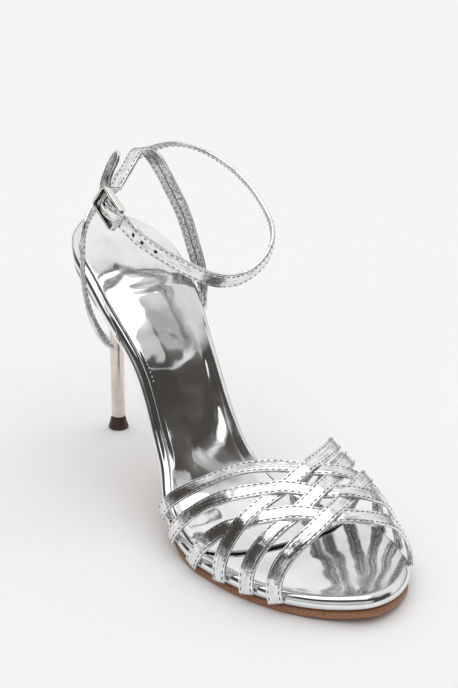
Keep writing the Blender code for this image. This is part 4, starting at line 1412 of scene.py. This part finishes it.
def add_room(looks):
    """The room that the foil mirrors: greys over the arch, dark walls at its sides, grey below."""
    world = bpy.data.worlds.new("studio")
    bpy.context.scene.world = world
    world.use_nodes = True
    tree = world.node_tree
    light = tree.nodes["Background"].inputs
    sky = tree.nodes.new("ShaderNodeTexCoord").outputs["Generated"]
    aside, forward, over = (part_along(tree, sky, axis) for axis in view_axes())
    rise = math_node(tree, "ARCTAN2", over, forward)
    shade = tones(tree, math_node(tree, "DIVIDE", rise, math.pi), ROOM_ARCH)
    high = remap(tree, rise, *RIGHT_RISE)
    right = math_node(tree, "MULTIPLY", remap(tree, aside, *RIGHT_WALL), high)
    left = remap(tree, aside, *LEFT_WALL)
    low = remap(tree, part_along(tree, sky, DOWN), *LOW_WALL)
    for share, tint in ((right, ROOM_DARK), (left, ROOM_DARK), (low, ROOM_GREY)):
        shade = blend_colour(tree, share, shade, tint)
    seen = tree.nodes.new("ShaderNodeLightPath").outputs["Is Camera Ray"]
    feed(tree, light["Color"], blend_colour(tree, seen, shade, looks.floor))
    feed(tree, light["Strength"], looks.room_light)


def add_lights(looks):
    """Level panels that shine down, their sides along the view and across it."""
    for name, (place, size, power, mirrored, lighting) in LIGHTS.items():
        lamp = bpy.data.lights.new(name, "AREA")
        lamp.shape = "RECTANGLE"
        lamp.size, lamp.size_y = size
        lamp.energy = power * looks.light_power
        thing = put(name, lamp)
        thing.matrix_world = turned(view_axes(), place)
        thing.visible_glossy = mirrored
        thing.visible_diffuse = lighting


def add_camera():
    """A long lens on the shoe."""
    lens = bpy.data.cameras.new("camera")
    lens.lens = CAMERA_LENS
    lens.sensor_fit = "VERTICAL"
    lens.sensor_height = SENSOR_HEIGHT
    lens.clip_start, lens.clip_end = CAMERA_CLIP
    camera = put("camera", lens)
    camera.matrix_world = turned(CAMERA_AXES, np.array(CAMERA_PLACE) * MM + shoe_shift())
    bpy.context.scene.camera = camera
    bpy.context.scene.view_settings.view_transform = "Standard"


def add_stage(looks):
    """Pale floor, soft lights, the room that the foil mirrors, and the camera."""
    add_floor(looks)
    add_room(looks)
    add_lights(looks)
    add_camera()


def length_of(name, description, default):
    """A length setting, in metres."""
    return bpy.props.FloatProperty(
        name=name, description=description, default=default, unit="LENGTH"
    )


class SandalSizes(bpy.types.PropertyGroup):
    """Sizes of the straps and their sewing."""

    ribbon_width: length_of("Vamp ribbon width", "Width of each woven ribbon", 0.0065)
    strap_width: length_of("Ankle strap width", "Width of both ankle straps", 0.0068)
    stitch_pitch: length_of("Stitch pitch", "Distance from stitch to stitch", 0.0025)
    stitch_length: length_of("Stitch length", "Length of the thread that shows", 0.0015)
    stitch_inset: length_of("Stitch inset", "Distance of the sewing from a strap's edge", 0.001)
    hole_diameter: length_of("Hole diameter", "Diameter of the punched holes", 0.0016)


def colour_of(name, description, default):
    """A colour setting."""
    return bpy.props.FloatVectorProperty(
        name=name, description=description, default=default, subtype="COLOR", size=3, min=0, max=1
    )


class SandalLooks(bpy.types.PropertyGroup):
    """Colours of the sandal and light of its stage."""

    silver: colour_of("Silver foil", "Foil of the wrap and the straps", (0.9, 0.905, 0.91))
    strap_back: colour_of("Strap back", "Turned-in side of the straps", (0.8, 0.8, 0.8))
    # Near-black painted shade under the sock's edge and inside the long strap's holes and slot
    dark_painted_shade: colour_of("Sock edge", "Painted shade under the sock's edge and in the long strap's holes", (0.06, 0.055, 0.05))
    # The stitches' grey is partly the thread's own and partly painted shade of the gaps between
    # them
    thread: colour_of("Thread", "Stitches along the straps", (0.24, 0.24, 0.25))
    outsole: colour_of("Outsole", "Sheet under the board", (0.36, 0.17, 0.09))
    pin: colour_of("Heel pin", "Metal of the pin", (0.78, 0.7, 0.64))
    tip: colour_of("Heel tip", "Rubber of the tip", (0.055, 0.026, 0.014))
    buckle: colour_of("Buckle", "Metal of the buckle", (0.66, 0.58, 0.5))
    elastic: colour_of("Elastic", "Ribbed tab under the buckle", (0.62, 0.56, 0.51))
    floor: colour_of("Floor", "Paper that the sandal stands on", (0.9, 0.9, 0.9))
    room_light: bpy.props.FloatProperty(
        name="Room light", description="Brightness of the white room", default=1.0, min=0.0
    )
    light_power: bpy.props.FloatProperty(
        name="Light power", description="Share of the lamps' power", default=1.0, min=0.0
    )


class SANDAL_OT_board(bpy.types.Operator):
    """Add the wrapped board"""

    bl_idname = "sandal.board"
    bl_label = "Add board"

    def execute(self, context):
        dress(add_board(), "metallic_wrap", "insole_board")
        return {"FINISHED"}


class SANDAL_OT_sock(bpy.types.Operator):
    """Add the padded sock"""

    bl_idname = "sandal.sock"
    bl_label = "Add sock"

    def execute(self, context):
        dress(add_sock(), "metallic_wrap", "sock")
        dress(add_sock_stitches(), "metallic_wrap")
        return {"FINISHED"}


class SANDAL_OT_outsole(bpy.types.Operator):
    """Add the thin outsole"""

    bl_idname = "sandal.outsole"
    bl_label = "Add outsole"

    def execute(self, context):
        dress(add_outsole(), "outsole_sheet", "outsole")
        return {"FINISHED"}


class SANDAL_OT_heel(bpy.types.Operator):
    """Add the heel's bowl, pin and tip"""

    bl_idname = "sandal.heel"
    bl_label = "Add heel"

    def execute(self, context):
        dress(add_heel_cup(), "metallic_wrap", "heel_cup")
        dress(add_turned("pin", PIN_TURNING, "pin_metal"), "heel_metal", "heel_pin")
        dress(add_turned("tip", TIP_TURNING, "tip_rubber"), "heel_rubber", "heel_tip")
        return {"FINISHED"}


class SANDAL_OT_vamp(bpy.types.Operator):
    """Add the woven ribbons over the toes"""

    bl_idname = "sandal.vamp"
    bl_label = "Add vamp"

    def execute(self, context):
        straps, stitches = add_vamp(context.scene.sandal_sizes)
        dress(straps, "metallic_straps", "vamp_straps")
        dress(stitches, "metallic_straps")
        return {"FINISHED"}


class SANDAL_OT_ankle_straps(bpy.types.Operator):
    """Add the two ankle straps"""

    bl_idname = "sandal.ankle_straps"
    bl_label = "Add ankle straps"

    def execute(self, context):
        long_strap, short_strap, stitches = add_ankle_straps(context.scene.sandal_sizes)
        dress(long_strap, "metallic_straps", "ankle_strap_long")
        dress(short_strap, "metallic_straps", "ankle_strap_short")
        dress(stitches, "metallic_straps")
        return {"FINISHED"}


class SANDAL_OT_buckle(bpy.types.Operator):
    """Add the buckle and its ribbed tab"""

    bl_idname = "sandal.buckle"
    bl_label = "Add buckle"

    def execute(self, context):
        dress(add_buckle_frame(), "buckle_metal", "buckle_frame")
        dress(add_buckle_prong(), "buckle_metal", "buckle_prong")
        dress(add_elastic(), "elastic_tab", "buckle_elastic")
        return {"FINISHED"}


class SANDAL_OT_stage(bpy.types.Operator):
    """Add the floor, the lights and the camera"""

    bl_idname = "sandal.stage"
    bl_label = "Add stage"

    def execute(self, context):
        add_stage(context.scene.sandal_looks)
        return {"FINISHED"}


class SANDAL_OT_finishes(bpy.types.Operator):
    """Make the materials that the pieces use"""

    bl_idname = "sandal.finishes"
    bl_label = "Make finishes"

    def execute(self, context):
        make_finishes(context.scene.sandal_looks)
        return {"FINISHED"}


OPERATORS = (
    SANDAL_OT_finishes,
    SANDAL_OT_board,
    SANDAL_OT_sock,
    SANDAL_OT_outsole,
    SANDAL_OT_heel,
    SANDAL_OT_vamp,
    SANDAL_OT_ankle_straps,
    SANDAL_OT_buckle,
    SANDAL_OT_stage,
)


class SANDAL_PT_panel(bpy.types.Panel):
    """Settings and steps of the sandal"""

    bl_idname = "SANDAL_PT_panel"
    bl_label = "Sandal"
    bl_space_type = "VIEW_3D"
    bl_region_type = "UI"
    bl_category = "Sandal"

    def draw(self, context):
        for group in (context.scene.sandal_sizes, context.scene.sandal_looks):
            for key in group.__annotations__:
                self.layout.prop(group, key)
        for operator in OPERATORS:
            self.layout.operator(operator.bl_idname)


CLASSES = (SandalSizes, SandalLooks, *OPERATORS, SANDAL_PT_panel)


def register():
    """Make the classes and the settings known."""
    for kind in CLASSES:
        bpy.utils.register_class(kind)
    bpy.types.Scene.sandal_sizes = bpy.props.PointerProperty(type=SandalSizes)
    bpy.types.Scene.sandal_looks = bpy.props.PointerProperty(type=SandalLooks)


def unregister():
    """Take the settings and the classes away again."""
    del bpy.types.Scene.sandal_looks
    del bpy.types.Scene.sandal_sizes
    for kind in reversed(CLASSES):
        bpy.utils.unregister_class(kind)


def main():
    """Build the sandal and its stage."""
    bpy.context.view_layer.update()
    register()
    bpy.ops.sandal.finishes()
    bpy.ops.sandal.board()
    bpy.ops.sandal.sock()
    bpy.ops.sandal.outsole()
    bpy.ops.sandal.heel()
    bpy.ops.sandal.vamp()
    bpy.ops.sandal.ankle_straps()
    bpy.ops.sandal.buckle()
    bpy.ops.sandal.stage()
    bpy.context.view_layer.update()


if __name__ == "__main__":
    main()
